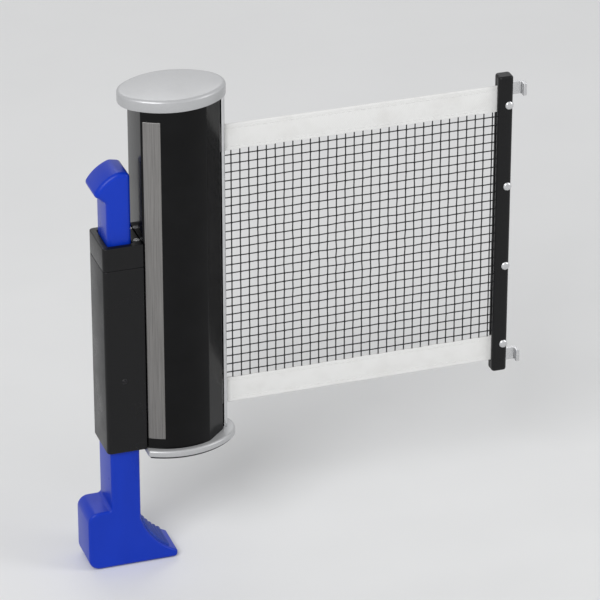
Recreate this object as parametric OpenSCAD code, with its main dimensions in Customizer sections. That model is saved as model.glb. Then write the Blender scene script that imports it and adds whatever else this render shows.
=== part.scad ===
// Clamp post of a table tennis net: an oval post with a sprung net roller inside,
// a sleeve on its outer end with a sprung slider that grips the table, and a short
// stretch of drawn-out net with its end bar.
// x runs along the net, y across it and z up. The origin is on the table top,
// under the middle of the flange.

/* [Post] */
// Height of the housing's top above the net's upper edge
head_room = 16.5; // [14:0.5:30]
// Length of the housing's oval along the net, before its ends are cut flat
housing_l = 44; // [42:0.5:50]
// Width of the housing across the net
housing_w = 31; // [30:0.5:36]
// Radius of the oval's small end arcs
housing_end_r = 12.5; // [11:0.5:13]
// Distance from the middle of the post to its flat outer end
outer_end = 17; // [17:0.5:19]
// Distance from the middle of the post to where its sides turn in to the mouth
taper_from = 11.6; // [11.5:0.1:12]
// Width of the flat end at the mouth
mouth_w = 9.2; // [9:0.1:10]
// Wall of the housing
wall = 1.8; // [1.4:0.1:2.2]
// Floor and ceiling of the housing
web = 2; // [1.6:0.1:3]
// Width of the slot that the net leaves by
slot_w = 6.6; // [6.4:0.1:6.8]

/* [Cap and flange] */
// Thickness of the cap
cap_h = 6; // [6:0.5:9]
// Length of the cap
cap_l = 48; // [47:0.5:54]
// Width of the cap
cap_w = 34; // [33:0.5:40]
// Bevel round the top of the cap
cap_bevel = 1.6; // [0.6:0.1:2.5]
// Length of the flange
flange_l = 54; // [52:0.5:60]
// Width of the flange
flange_w = 36; // [34:0.5:42]
// Thickness of the flange
flange_t = 3; // [2.5:0.1:5]
// Thickness of the rubber pad under the flange
pad_t = 1.2; // [0.8:0.1:2]
// How far the pad lies inside the flange's edge
pad_inset = 1; // [0.5:0.1:2]

/* [Trim and mouth] */
// Width of each silver strip, measured along the net
trim_w = 7; // [5:0.5:9]
// Distance from the outer end to the strip
trim_from_end = 0.8; // [0.8:0.1:1.5]
// Thickness of the strip
trim_t = 1; // [0.8:0.1:1.2]
// How far the strip stands out of the housing
trim_proud = 0.2; // [0:0.05:0.3]
// Housing left above and below the strip
trim_margin = 5; // [3:0.5:12]
// Diameter of the mouth rods
rod_d = 2.2; // [1.6:0.1:2.4]
// Distance of the rods from the middle of the post
rod_x = 22; // [21.5:0.1:22]
// Distance between the middles of the two rods
rod_pitch = 4.8; // [4.4:0.1:5]
// Gap between the mouth and the rods in front of it
mouth_gap = 0.5; // [0.3:0.1:0.8]
// Depth of the rods' sockets in cap and flange
rod_seat = 2; // [1:0.1:2.4]

/* [Clamp] */
// Thickness of the jaw's stem along the net
stem_t = 13.5; // [13:0.1:16]
// Width of the stem across the net
stem_w = 19.5; // [18.5:0.1:22]
// Room left over the stem's shoulder at its closed stop, under the collar
stop_room = 6; // [3:0.5:12]
// Outer and side walls of the sleeve
guide_wall = 1.7; // [1.5:0.1:2.4]
// Wall of the sleeve on the side of the post
guide_back = 3; // [3:0.1:4]
// Height of the sleeve's top above the table, without its collar
guide_h = 95; // [95:1:105]
// Thickness of the collar
collar_h = 11; // [2:0.5:14]
// Thickness of the thumb tab's bar along the net
bar_t = 11; // [11:0.1:12]
// Width of the thumb tab's bar across the net
bar_w = 17; // [16:0.1:18]
// Distance of the thumb tab's top below the cap
tab_drop = 29; // [26:1:40]
// How far the thumb tab's lip stands out from its bar
tab_lip = 5; // [3:0.5:8]
// Travel of the slider up to its closed stop
travel_up = 25; // [20:1:25]
// Travel of the slider down to its open stop
travel_down = 6; // [3:1:8]
// Depth of the jaw's sole below the table top
sole_depth = 55; // [55:1:60]
// Depth of the inner root of the toe below the table top
root_depth = 32; // [28:1:36]
// Length of the toe, from the stem to the tip
toe_l = 17; // [14:0.5:20]
// Thickness of the toe's tip
tip_t = 3.5; // [2.5:0.1:5]
// Radius of the toe's hollow upper face
toe_hollow_r = 30; // [26:1:40]
// How far the heel stands out from the stem
heel_l = 11; // [8:0.5:13]
// Depth of the heel's top below the table top
heel_depth = 26; // [26:1:30]
// Radius of the heel's corners
heel_r = 5; // [3:0.5:7]
// Thickness of the jaw's soft pad
grip_t = 1.2; // [0.8:0.1:2]
// Width of the jaw's soft pad
grip_w = 16; // [12:0.5:17]

/* [Clamp spring] */
// Diameter of the bore that holds the spring
spring_bore_d = 8.3; // [8.1:0.1:8.4]
// Outer diameter of the spring
spring_d = 7.5; // [6.6:0.1:7.6]
// Diameter of the spring's wire
spring_wire = 0.9; // [0.7:0.05:1]
// Number of curls
spring_curls = 12; // [8:1:13]
// Distance of the cross pin that carries the spring below the stem's shoulder
pin_drop = 24; // [23:1:30]
// Diameter of the cross pin
spring_pin_d = 3; // [2.5:0.1:3.2]
// Thickness of the washer on the pin
seat_t = 1.5; // [1:0.1:2]
// Depth of the spring's bore in the thumb tab's bar
spring_in_bar = 20; // [14:1:24]

/* [Net roller] */
// Distance of the roller's axis from the middle of the post, away from the net
roller_off = 2; // [1.8:0.1:2]
// Diameter of the fixed spindle
spindle_d = 4; // [3.6:0.1:4.2]
// Outer diameter of the roller's tube
tube_d = 11; // [10.5:0.1:11.5]
// Wall of the roller's tube
tube_wall = 1; // [0.8:0.1:1.2]
// Diameter of the wound-up net
roll_d = 24.4; // [20:0.2:24.4]
// Length of the torsion spring in the tube
torsion_l = 76; // [50:1:80]
// Outer diameter of the torsion spring
torsion_d = 8; // [7:0.1:8.2]
// Wall of the torsion spring
torsion_wall = 1.2; // [0.8:0.1:1.3]

/* [Net] */
// Height of the net's lower edge above the table top
net_bottom = 15; // [15:0.5:18]
// Height of the net's upper edge above the table top
net_top = 152.5; // [145:0.5:152.5]
// Distance from the middle of the post to the end bar
net_out = 150; // [120:1:200]
// Height of each white band
band_h = 12.5; // [10:0.5:15]
// Thickness of the bands
band_t = 1.2; // [0.8:0.1:1.3]
// Thickness of the mesh
mesh_t = 0.6; // [0.4:0.1:0.8]
// Width of the mesh's threads
thread_w = 0.8; // [0.6:0.1:1.2]
// Number of gaps along the net
gaps_along = 17; // [10:1:20]
// Number of gaps up the net
gaps_up = 13; // [8:1:14]

/* [End bar] */
// Width of the end bar along the net
bar_l = 7; // [6:0.5:10]
// Thickness of the end bar across the net
end_bar_t = 6.4; // [5:0.2:8]
// How far the end bar reaches past the net, above and below
end_over = 5; // [3:0.5:8]
// Depth of the groove that holds the net
groove_depth = 3; // [2:0.5:4]
// Number of rivets
rivets = 4; // [2:1:6]
// Reach of the hooks past the end bar
hook_reach = 6; // [4:0.5:9]
// Height of each hook
hook_h = 6; // [4:0.5:9]
// Thickness of the hooks
hook_t = 1.8; // [1.2:0.1:2.5]

/* [Fasteners and fits] */
// Shank diameter of the housing screws
screw_d = 2.8; // [2.4:0.1:3]
// Head diameter of the housing screws
screw_head_d = 5; // [4.4:0.1:5.2]
// Head height of the housing screws
screw_head_h = 2.2; // [1.6:0.1:2.4]
// Shank diameter of the small screws in cap, flange and sleeve
small_d = 2.4; // [2:0.1:2.6]
// Head diameter of the small screws
small_head_d = 3.8; // [3.4:0.1:4]
// Head height of the small screws
small_head_h = 1.2; // [1:0.1:1.3]
// Radial clearance of screws and pins in their holes
hole_gap = 0.05; // [0.02:0.01:0.1]
// Clearance of the slider in its sleeve, on each side
slide_gap = 0.05; // [0.03:0.01:0.1]
// Radial clearance of the roller on its spindle
run_gap = 0.05; // [0.02:0.01:0.1]
// End play of the roller
end_play = 0.1; // [0.05:0.05:0.3]
// Clearance of soft pieces from what moves past them
soft_gap = 0.2; // [0.1:0.05:0.4]

/* [Hidden] */
$fn = 20;             // faces of screws, pins and their holes
round_fn = 32;        // faces of the roller and of the small end arcs
side_fn = 64;         // faces of the whole circle that a side arc belongs to
curl_steps = 8;

black = [0.05, 0.05, 0.055];
silver = [0.78, 0.79, 0.8];
steel = [0.62, 0.63, 0.65];
blue = [0.05, 0.25, 0.75];
white = [0.93, 0.93, 0.92];
rubber = [0.12, 0.12, 0.13];
far = 400;          // longer than the part, for cuts that run right through
over = 1;           // how far a cut runs past the face that it opens

// Levels of the post
flange_top = pad_t + flange_t;
housing_top = net_top + head_room;
post_h = housing_top + cap_h;
floor_top = flange_top + web;
ceiling = housing_top - web;

// Housing
slot_margin = 1.5;    // slot left open above and below the net
boss_wall = 1.35;     // wall of a screw boss round its counterbore
boss_sink = 0.9;      // how far a lower boss is sunk into the floor
boss_hang = 1;        // gap between an upper boss and the ceiling
boss_side = 0.25;     // how far an outer boss is sunk into the end wall
boss_back = 0.15;     // how far an inner boss stays behind the start of the taper
seat_depth = 7;       // depth of the screw heads' seats below the widest face
tip_cover = 7.5;      // housing left in front of the screws' tips
blind_room = 0.5;     // room past the tip of a screw in a blind hole
trim_gap = 0.05;      // gap round a trim strip
trim_inner_y = 2;     // where the trim's window starts, inside the housing
trim_x = -outer_end + trim_from_end;
trim_z0 = flange_top + trim_margin;
trim_z1 = housing_top - trim_margin;
boss_r = screw_head_d / 2 + hole_gap + boss_wall;
boss_low = floor_top + boss_r - boss_sink;
boss_high = ceiling - boss_r - boss_hang;
boss_x = [-outer_end + wall + boss_r - boss_side, taper_from - boss_r - boss_back];
mouth_end = rod_x - rod_d / 2 - mouth_gap;
head_seat_y = housing_w / 2 - seat_depth;
screw_tip_y = -housing_w / 2 + tip_cover;
roller_x = -roller_off;
end_screw_y = 9;      // distance of the cap's and flange's screws from the roller's axis
base_boss_wall = 1.6;
base_boss_r = small_d / 2 + base_boss_wall;
base_boss_h = 6.5;
base_boss_lid = 1;    // closed end of the flange screw's boss
base_tip_room = 0.5;  // room past the flange screw's tip
cap_lid = 2.5;        // cap left over its screws' holes
cap_tip_room = 0.5;

// Roller
spindle_r = spindle_d / 2;
bush_r = 5.2;
bush_h = 4.3;
spigot_r = 3.4;
spindle_play = 1;     // room past each end of the spindle
tube_below = 0.8;     // tube that stands out below the net
tube_above = 3;       // tube that stands out above the net
tube_low = net_bottom - tube_below;
tube_high = net_top + tube_above;
plug_l = 8;
plug_lip = 0.8;
hub_r = 3.2;
tube_bore = tube_d - 2 * tube_wall;
torsion_gap = 0.2;    // gap between the torsion spring and the upper plug
torsion_high = tube_high - plug_l - torsion_gap;
torsion_low = torsion_high - torsion_l;
anchor_h = 6;
anchor_step = 0.1;    // how much smaller the anchor is than the torsion spring
anchor_r = torsion_d / 2 - anchor_step;
roll_gap = 0.02;      // gap between the wound net and the tube

// Sleeve and slider
guide_in = -outer_end - guide_back;
stem_in = guide_in - slide_gap;
stem_out = stem_in - stem_t;
guide_out = stem_out - slide_gap - guide_wall;
guide_half = stem_w / 2 + slide_gap + guide_wall;
slider_x = (stem_in + stem_out) / 2;
head_side = 0.265;      // gap between the sleeve's screw heads and the housing's wall
guide_screw_y = oval_half(housing_l / 2 - wall, housing_w / 2 - wall, housing_end_r - wall,
                          outer_end - wall) - small_head_d / 2 - head_side;
guide_screw_low = 30;
guide_screw_drop = 15;  // distance of the upper screws below the sleeve's top
guide_screw_z = [guide_screw_low, guide_h - guide_screw_drop];
screw_short = 0.3;      // sleeve left in front of the screws' tips
guide_screw_l = wall + guide_back - screw_short;
collar_screw_y = 6;
collar_screw_l = 9;
collar_screw_d = 1.7;
collar_head_d = 2.7;
collar_head_h = 1;
stem_top = guide_h - travel_up - stop_room;
tab_top = housing_top - tab_drop;
tenon_h = 12;
tenon_shoulder = 0.2;   // shoulder of the tenon along the net
tenon_side = 1.5;       // shoulder of the tenon across the net
tenon_t = bar_t - 2 * tenon_shoulder;
tenon_w = bar_w - 2 * tenon_side;
tab_pin_y = (tenon_w + spring_bore_d) / 4;
tab_pin_z = stem_top - tenon_h / 2;
tab_pin_d = 2;
slot_play = 0.8;        // slot left past the spring pin at each stop
slot_side = 0.2;        // gap between the spring pin and the slot's sides
spring_pin_z = stem_top - pin_drop;
slot_half = spring_pin_d / 2 + slot_side;
slot_low = spring_pin_z - travel_up - spring_pin_d / 2 - slot_play;
slot_high = spring_pin_z + travel_down + spring_pin_d / 2 + slot_play;
seat_z = spring_pin_z + spring_pin_d / 2;
spring_low = seat_z + seat_t;
spring_top = stem_top + spring_in_bar;

// Thumb tab's head
top_in_r = 2;           // radius of its inner corner
top_in_drop = 2.5;      // depth of that arc's centre below the top
crown_r = 4;
crown_in = 5;           // distance of the crown's centre from the inner face
lip_r = 2.2;
lip_drop = 9;           // depth of the lip's centre below the top
throat_r = 3;
throat_drop = 15.5;     // depth of the throat's centre below the top
crown_arc = [80, 110];
lip_arc = [118, 250];
throat_arc = [70, 0];

// Net and end bar
rod_y = rod_pitch / 2;
lead_stop = 0.5;        // gap between the lead and the drawn-out net
lead_r = roll_d / 2 + soft_gap + band_t / 2;
lead_angle = asin(lead_r / (rod_x + roller_off));
lead_start = [roller_x + lead_r * sin(lead_angle), -lead_r * cos(lead_angle)];
lead_l = norm([rod_x, 0] - lead_start) - lead_stop;
mesh_low = net_bottom + band_h;
mesh_high = net_top - band_h;
net_l = net_out + groove_depth - rod_x;
groove_side = 0.15;     // gap between the net's bands and the groove's sides
groove_ends = 0.3;      // gap above and below the net in the groove
groove_room = 0.1;      // gap between the net's end and the groove's bottom
groove_half = band_t / 2 + groove_side;
end_low = net_bottom - end_over;
end_high = net_top + end_over;
rivet_r = 1.1;
rivet_head_r = 2;
rivet_head_h = 0.9;
rivet_x = net_out + (groove_depth + bar_l) / 2;
rivet_margin = 14;      // distance of the outer rivets from the end bar's ends
hook_root = 2;          // hook let into the end bar
hook_margin = 4;        // distance of a hook from the end bar's end
hook_turn = 3;          // length of a hook's turned end
rivet_z = [for (i = [0:rivets - 1])
  end_low + rivet_margin + i * (end_high - end_low - 2 * rivet_margin) / (rivets - 1)];
hook_levels = [end_low + hook_margin, end_high - hook_margin - hook_h];

// ---------- shapes used by several pieces ----------

// Radius of the long side arcs of a four-arc oval with half axes a and b.
function side_r(a, b, r) = (pow(a - r, 2) + b * b - r * r) / (2 * (b - r));

// Half width of that oval at a distance x from its middle.
function oval_half(a, b, r, x) =
  let(side = side_r(a, b, r))
  x < side * (a - r) / (side - r) ? b - side + sqrt(side * side - x * x)
                                  : sqrt(r * r - pow(x - a + r, 2));

// Four-arc oval: two long side arcs that run smoothly into two end arcs.
module oval(a, b, r) {
  side = side_r(a, b, r);
  meet_x = side * (a - r) / (side - r);
  intersection() {
    translate([0, b - side]) circle(side, $fn = side_fn);
    translate([0, side - b]) circle(side, $fn = side_fn);
    square([2 * meet_x, 2 * b + 2 * over], center = true);
  }
  for (s = [-1, 1]) translate([s * (a - r), 0]) circle(r, $fn = round_fn);
}

// Angle at which the sides turn in to the mouth.
function taper_turn() =
  let(half = oval_half(housing_l / 2, housing_w / 2, housing_end_r, taper_from))
  atan2(half - mouth_w / 2, mouth_end - taper_from);

// Outline of the housing, drawn in from its outer face by inset.
module housing_outline(inset = 0) {
  turn = taper_turn();
  reach = mouth_end * sin(turn) + mouth_w / 2 * cos(turn) - inset;
  back = (reach - housing_w * cos(turn)) / sin(turn);
  intersection() {
    housing_oval(inset);
    translate([-outer_end + inset, -far / 2])
      square([outer_end + mouth_end - 2 * inset, far]);
    polygon([[reach / sin(turn), 0], [back, housing_w], [-far, housing_w],
             [-far, -housing_w], [back, -housing_w]]);
  }
}

// Straight column on an outline, from z0 to z1.
module column(z0, z1) translate([0, 0, z0]) linear_extrude(z1 - z0) children();

// Cylinder along y, from y0 to y1.
module along_y(x, y0, y1, z, r)
  translate([x, y0, z]) rotate([-90, 0, 0]) cylinder(h = y1 - y0, r = r);

// Cylinder along x, from x0 to x1.
module along_x(x0, x1, y, z, r)
  translate([x0, y, z]) rotate([0, 90, 0]) cylinder(h = x1 - x0, r = r);

// Block from one corner to the opposite one.
module block(p, q) translate(p) cube(q - p);

// Profile in x and z, given a width across y.
module side_profile(width)
  translate([0, width / 2, 0]) rotate([90, 0, 0]) linear_extrude(width) children();

// Points on an arc round c, from angle a0 to a1.
function arc(c, r, a0, a1, n = 8) =
  [for (i = [0:n]) let(a = a0 + (a1 - a0) * i / n) c + r * [cos(a), sin(a)]];

// Centre of the arc of radius r from p to q, on the right-hand side of that way.
function arc_centre(p, q, r) =
  let(d = q - p, m = (p + q) / 2, h = sqrt(r * r - d * d / 4), u = d / norm(d))
  m + h * [u[1], -u[0]];

// ---------- housing ----------

// One half of the housing; side is -1 for the front and 1 for the rear.
module housing_half(side) {
  bosses = [for (x = boss_x, z = [boss_low, boss_high]) [x, z]];
  boss_end = housing_w / 2;
  difference() {
    union() {
      difference() {
        column(flange_top, housing_top) housing_outline();
        column(floor_top, ceiling) housing_outline(wall);
      }
      intersection() {
        for (b = bosses)
          along_y(b[0], side > 0 ? 0 : -boss_end, side > 0 ? boss_end : 0, b[1], boss_r);
        column(flange_top, housing_top) housing_outline(wall / 2);
      }
      translate([roller_x, side * end_screw_y, floor_top - over / 2])
        cylinder(h = base_boss_h + over / 2, r = base_boss_r);
    }
    block([-far, side > 0 ? -far : 0, -over], [far, side > 0 ? 0 : far, far]);
    block([mouth_end - wall - over, -slot_w / 2, net_bottom - slot_margin],
          [mouth_end + over, slot_w / 2, net_top + slot_margin]);
    trim_recess(side);
    for (b = bosses) {
      along_y(b[0], screw_tip_y - blind_room, head_seat_y + over, b[1],
              screw_d / 2 + hole_gap);
      if (side > 0)
        along_y(b[0], head_seat_y, far / 4, b[1], screw_head_d / 2 + hole_gap);
    }
    for (y = [-1, 1] * guide_screw_y, z = guide_screw_z)
      along_x(-outer_end - over, -outer_end + wall + over, y, z, small_d / 2 + hole_gap);
    translate([roller_x, side * end_screw_y, 0]) {
      translate([0, 0, flange_top - over])
        cylinder(h = web + base_boss_h - base_boss_lid + over, r = small_d / 2 + hole_gap);
      translate([0, 0, ceiling - over])
        cylinder(h = web + 2 * over, r = small_d / 2 + hole_gap);
    }
    for (z = [flange_top - over, ceiling - over])
      translate([roller_x, 0, z]) cylinder(h = web + 2 * over, r = spigot_r + hole_gap);
  }
}

// Recess in the housing that a trim strip lies in.
module trim_recess(side) {
  column(trim_z0 - trim_gap, trim_z1 + trim_gap) difference() {
    trim_window(side, trim_gap);
    housing_oval(trim_t - trim_proud + trim_gap);
  }
}

// The housing's oval without its flat ends.
module housing_oval(inset)
  oval(housing_l / 2 - inset, housing_w / 2 - inset, housing_end_r - inset);

// Part of the plan in which a trim strip lies.
module trim_window(side, gap)
  translate([trim_x - gap, side > 0 ? trim_inner_y : -far])
    square([trim_w + 2 * gap, far - trim_inner_y]);

module trim_strip(side) color(silver)
  column(trim_z0, trim_z1) intersection() {
    difference() {
      housing_oval(-trim_proud);
      housing_oval(trim_t - trim_proud);
    }
    trim_window(side, 0);
  }

module housing_front() color(black) housing_half(-1);
module housing_rear() color(black) housing_half(1);
module trim_strip_front() trim_strip(-1);
module trim_strip_rear() trim_strip(1);

module housing_screws() color(steel)
  for (x = boss_x, z = [boss_low, boss_high]) difference() {
    union() {
      along_y(x, screw_tip_y, head_seat_y, z, screw_d / 2);
      along_y(x, head_seat_y, head_seat_y + screw_head_h, z, screw_head_d / 2);
    }
    cross_recess([x, head_seat_y + screw_head_h, z], [-90, 0, 0], screw_head_d);
  }

// Cross-shaped driver recess in a screw head at p, whose axis leaves along turned z.
module cross_recess(p, turn, head_d)
  translate(p) rotate(turn) for (a = [0, 90]) rotate([0, 0, a])
    translate([-head_d * 0.32, -head_d * 0.06, -head_d * 0.16])
      cube([head_d * 0.64, head_d * 0.12, head_d]);

// ---------- cap and flange ----------

module top_cap() color(silver) difference() {
  hull() {
    column(housing_top, post_h - cap_bevel)
      oval(cap_l / 2, cap_w / 2, housing_end_r);
    column(housing_top, post_h)
      oval(cap_l / 2 - cap_bevel, cap_w / 2 - cap_bevel, housing_end_r - cap_bevel);
  }
  for (s = [-1, 1]) {
    translate([roller_x, s * end_screw_y, housing_top - over])
      cylinder(h = cap_h - cap_lid + over, r = small_d / 2 + hole_gap);
    translate([rod_x, s * rod_y, housing_top - over])
      cylinder(h = rod_seat + over, r = rod_d / 2 + hole_gap);
  }
}

// Small screw that enters upwards, its head's top at z.
module upward_screw(x, y, z, length) translate([x, y, z]) difference() {
  union() {
    translate([0, 0, -small_head_h]) cylinder(h = small_head_h, r = small_head_d / 2);
    cylinder(h = length, r = small_d / 2);
  }
  cross_recess([0, 0, -small_head_h], [180, 0, 0], small_head_d);
}

module cap_screws() color(steel)
  for (s = [-1, 1])
    upward_screw(roller_x, s * end_screw_y, ceiling, web + cap_h - cap_lid - cap_tip_room);

module flange_outline(inset = 0) intersection() {
  oval(flange_l / 2 - inset, flange_w / 2 - inset, housing_end_r - inset);
  translate([-outer_end + inset, -far / 2]) square([far, far]);
}

module base_plate() color(silver) difference() {
  column(pad_t, flange_top) flange_outline();
  for (s = [-1, 1]) {
    translate([roller_x, s * end_screw_y, pad_t - over])
      cylinder(h = flange_t + 2 * over, r = small_d / 2 + hole_gap);
    translate([roller_x, s * end_screw_y, pad_t - over])
      cylinder(h = small_head_h + over, r = small_head_d / 2 + hole_gap);
    translate([rod_x, s * rod_y, flange_top - rod_seat])
      cylinder(h = rod_seat + over, r = rod_d / 2 + hole_gap);
  }
}

module base_pad() color(rubber) column(0, pad_t) flange_outline(pad_inset);

module base_screws() color(steel) for (s = [-1, 1])
  upward_screw(roller_x, s * end_screw_y, pad_t + small_head_h,
               flange_t - small_head_h + web + base_boss_h - base_boss_lid - base_tip_room);

// ---------- net mouth ----------

module mouth_rod(side) color(steel)
  translate([rod_x, side * rod_y, flange_top - rod_seat])
    cylinder(h = housing_top - flange_top + 2 * rod_seat, r = rod_d / 2);

module mouth_rod_front() mouth_rod(-1);
module mouth_rod_rear() mouth_rod(1);

// ---------- sleeve of the clamp ----------

module clamp_guide() color(black) difference() {
  block([guide_out, -guide_half, flange_top], [-outer_end, guide_half, guide_h]);
  block([stem_out - slide_gap, -stem_w / 2 - slide_gap, flange_top - over],
        [stem_in + slide_gap, stem_w / 2 + slide_gap, guide_h + over]);
  along_y(slider_x, -guide_half - over, guide_half + over, spring_pin_z,
          spring_pin_d / 2 + hole_gap / 2);
  for (y = [-1, 1] * guide_screw_y, z = guide_screw_z)
    along_x(-outer_end - guide_back - over, -outer_end + over, y, z,
            small_d / 2 + hole_gap);
  for (y = [-1, 1] * collar_screw_y)
    translate([-outer_end - guide_back / 2, y, guide_h - collar_screw_l])
      cylinder(h = collar_screw_l + over, r = collar_screw_d / 2 + hole_gap / 2);
}

module guide_collar() color(black) difference() {
  block([guide_out, -guide_half, guide_h], [-outer_end, guide_half, guide_h + collar_h]);
  block([slider_x - bar_t / 2 - slide_gap, -bar_w / 2 - slide_gap, guide_h - over],
        [slider_x + bar_t / 2 + slide_gap, bar_w / 2 + slide_gap, guide_h + collar_h + over]);
  for (y = [-1, 1] * collar_screw_y) translate([-outer_end - guide_back / 2, y, 0]) {
    translate([0, 0, guide_h - over])
      cylinder(h = collar_h + 2 * over, r = collar_screw_d / 2 + hole_gap);
    translate([0, 0, guide_h + collar_h - collar_head_h])
      cylinder(h = collar_head_h + over, r = collar_head_d / 2 + hole_gap);
  }
}

module guide_screws() color(steel)
  for (y = [-1, 1] * guide_screw_y, z = guide_screw_z) difference() {
    union() {
      along_x(-outer_end + wall, -outer_end + wall + small_head_h, y, z, small_head_d / 2);
      along_x(-outer_end + wall - guide_screw_l, -outer_end + wall, y, z, small_d / 2);
    }
    cross_recess([-outer_end + wall + small_head_h, y, z], [0, 90, 0], small_head_d);
  }

module collar_screws() color(steel)
  for (y = [-1, 1] * collar_screw_y) translate([-outer_end - guide_back / 2, y, 0])
    difference() {
      union() {
        translate([0, 0, guide_h + collar_h - collar_head_h])
          cylinder(h = collar_head_h, r = collar_head_d / 2);
        translate([0, 0, guide_h - collar_screw_l + blind_room])
          cylinder(h = collar_screw_l + collar_h - collar_head_h - blind_room,
                   r = collar_screw_d / 2);
      }
      cross_recess([0, 0, guide_h + collar_h], [0, 0, 0], collar_head_d);
    }

module spring_pin() color(steel)
  along_y(slider_x, -guide_half, guide_half, spring_pin_z, spring_pin_d / 2);

module spring_seat() color(steel)
  translate([slider_x, 0, seat_z]) cylinder(h = seat_t, r = spring_bore_d / 2 - soft_gap);

// Points of a helix of mean radius r, from z0 to z1.
function helix(r, z0, z1, curls, per_curl) =
  [for (i = [0:curls * per_curl])
    let(a = 360 * i / per_curl, t = i / (curls * per_curl))
    [r * cos(a), r * sin(a), z0 + (z1 - z0) * t]];

// Round wire swept along a helix round z; sides is the number of its faces.
module wire_helix(r, wire_r, z0, z1, curls, per_curl = curl_steps, sides = 6) {
  path = helix(r, z0, z1, curls, per_curl);
  n = len(path);
  points = [for (i = [0:n - 1], k = [0:sides - 1])
    let(a = 360 * i / per_curl, b = 360 * k / sides, q = r + wire_r * cos(b))
    [q * cos(a), q * sin(a), path[i][2] + wire_r * sin(b)]];
  faces = concat(
    [for (i = [0:n - 2], k = [0:sides - 1], half = [0, 1])
      let(p = i * sides + k, q = i * sides + (k + 1) % sides)
      half == 0 ? [p, q, q + sides] : [p, q + sides, p + sides]],
    [for (k = [1:sides - 2]) [0, k + 1, k]],
    [for (k = [1:sides - 2]) let(e = (n - 1) * sides) [e, e + k, e + k + 1]]);
  polyhedron(points, faces);
}

spring_path = helix((spring_d - spring_wire) / 2, spring_low + spring_wire / 2,
                    spring_top - spring_wire / 2, spring_curls, curl_steps);
spring_self_gap = min([for (i = [0:len(spring_path) - 1 - curl_steps])
  norm(spring_path[i + curl_steps] - spring_path[i])]) - spring_wire;
echo(clamp_spring_self_gap = spring_self_gap);

module clamp_spring() color(steel) translate([slider_x, 0, 0])
  wire_helix((spring_d - spring_wire) / 2, spring_wire / 2, spring_low + spring_wire / 2,
             spring_top - spring_wire / 2, spring_curls);

// ---------- slider of the clamp ----------

tip_slope = 0.8;        // bevel of the toe's upper edge at its tip
tip_bevel = 1;          // bevel of the toe's lower edge at its tip
toe_steps = 10;
toe_tip = stem_in + toe_l;
toe_root = [stem_in, -root_depth];
toe_edge = [toe_tip - tip_slope, -sole_depth + tip_t];
toe_centre = arc_centre(toe_edge, toe_root, toe_hollow_r);
toe_from = atan2(toe_edge[1] - toe_centre[1], toe_edge[0] - toe_centre[0]);
toe_to = atan2(toe_root[1] - toe_centre[1], toe_root[0] - toe_centre[0]);
heel_x = stem_out - heel_l;

// Points i0 to i1 of the toe's hollow face, drawn in by inset.
function hollow(i0, i1, inset = 0) =
  [for (i = [i0:(i0 < i1 ? 1 : -1):i1])
    let(a = toe_to + (toe_from - toe_to) * i / toe_steps)
    toe_centre + (toe_hollow_r - inset) * [cos(a), sin(a)]];

module boot_outline() polygon(concat(
  [[stem_in, stem_top]],
  hollow(0, toe_steps),
  [[toe_tip, toe_edge[1] - tip_slope], [toe_tip, -sole_depth + tip_bevel],
   [toe_tip - tip_bevel, -sole_depth]],
  arc([heel_x + heel_r, -sole_depth + heel_r], heel_r, 270, 180),
  arc([heel_x + heel_r, -heel_depth - heel_r], heel_r, 180, 90),
  [[stem_out, -heel_depth], [stem_out, stem_top]]));

module jaw() color(blue) difference() {
  side_profile(stem_w) boot_outline();
  translate([slider_x, 0, slot_low]) cylinder(h = far, r = spring_bore_d / 2);
  block([slider_x - slot_half, -far / 2, slot_low], [slider_x + slot_half, far / 2, slot_high]);
  block([slider_x - tenon_t / 2 - hole_gap, -tenon_w / 2 - hole_gap, stem_top - tenon_h],
        [slider_x + tenon_t / 2 + hole_gap, tenon_w / 2 + hole_gap, far]);
  for (y = [-1, 1] * tab_pin_y)
    along_x(stem_out - over, stem_in + over, y, tab_pin_z, tab_pin_d / 2 + hole_gap / 2);
}

module jaw_pad() color(blue) side_profile(grip_w)
  polygon(concat(hollow(1, toe_steps - 1), hollow(toe_steps - 1, 1, grip_t)));

bar_out = slider_x - bar_t / 2;
bar_in = slider_x + bar_t / 2;
lip_x = bar_out - tab_lip;
module tab_outline() polygon(concat(
  [[bar_in, stem_top]],
  arc([bar_in - top_in_r, tab_top - top_in_drop], top_in_r, 0, crown_arc[0], 4),
  arc([bar_in - crown_in, tab_top - crown_r], crown_r, crown_arc[0], crown_arc[1], 4),
  arc([lip_x + lip_r, tab_top - lip_drop], lip_r, lip_arc[0], lip_arc[1], 8),
  arc([bar_out - throat_r, tab_top - throat_drop], throat_r, throat_arc[0], throat_arc[1], 6),
  [[bar_out, stem_top]]));

module thumb_tab() color(blue) difference() {
  union() {
    side_profile(bar_w) tab_outline();
    block([slider_x - tenon_t / 2, -tenon_w / 2, stem_top - tenon_h],
          [slider_x + tenon_t / 2, tenon_w / 2, stem_top + over]);
  }
  translate([slider_x, 0, 0]) cylinder(h = spring_top, r = spring_bore_d / 2);
  for (y = [-1, 1] * tab_pin_y)
    along_x(stem_out - over, stem_in + over, y, tab_pin_z, tab_pin_d / 2 + hole_gap / 2);
}

module tab_pins() color(steel)
  for (y = [-1, 1] * tab_pin_y) along_x(stem_out, stem_in, y, tab_pin_z, tab_pin_d / 2);

// ---------- roller ----------

module at_roller(z) translate([roller_x, 0, z]) children();

// Ring round the roller's axis.
module ring(z0, z1, r_out, r_in) at_roller(z0) difference() {
  cylinder(h = z1 - z0, r = r_out, $fn = round_fn);
  translate([0, 0, -over]) cylinder(h = z1 - z0 + 2 * over, r = r_in, $fn = round_fn);
}

module roller_spindle() color(steel)
  at_roller(flange_top + spindle_play)
    cylinder(h = housing_top - flange_top - 2 * spindle_play, r = spindle_r);

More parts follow.
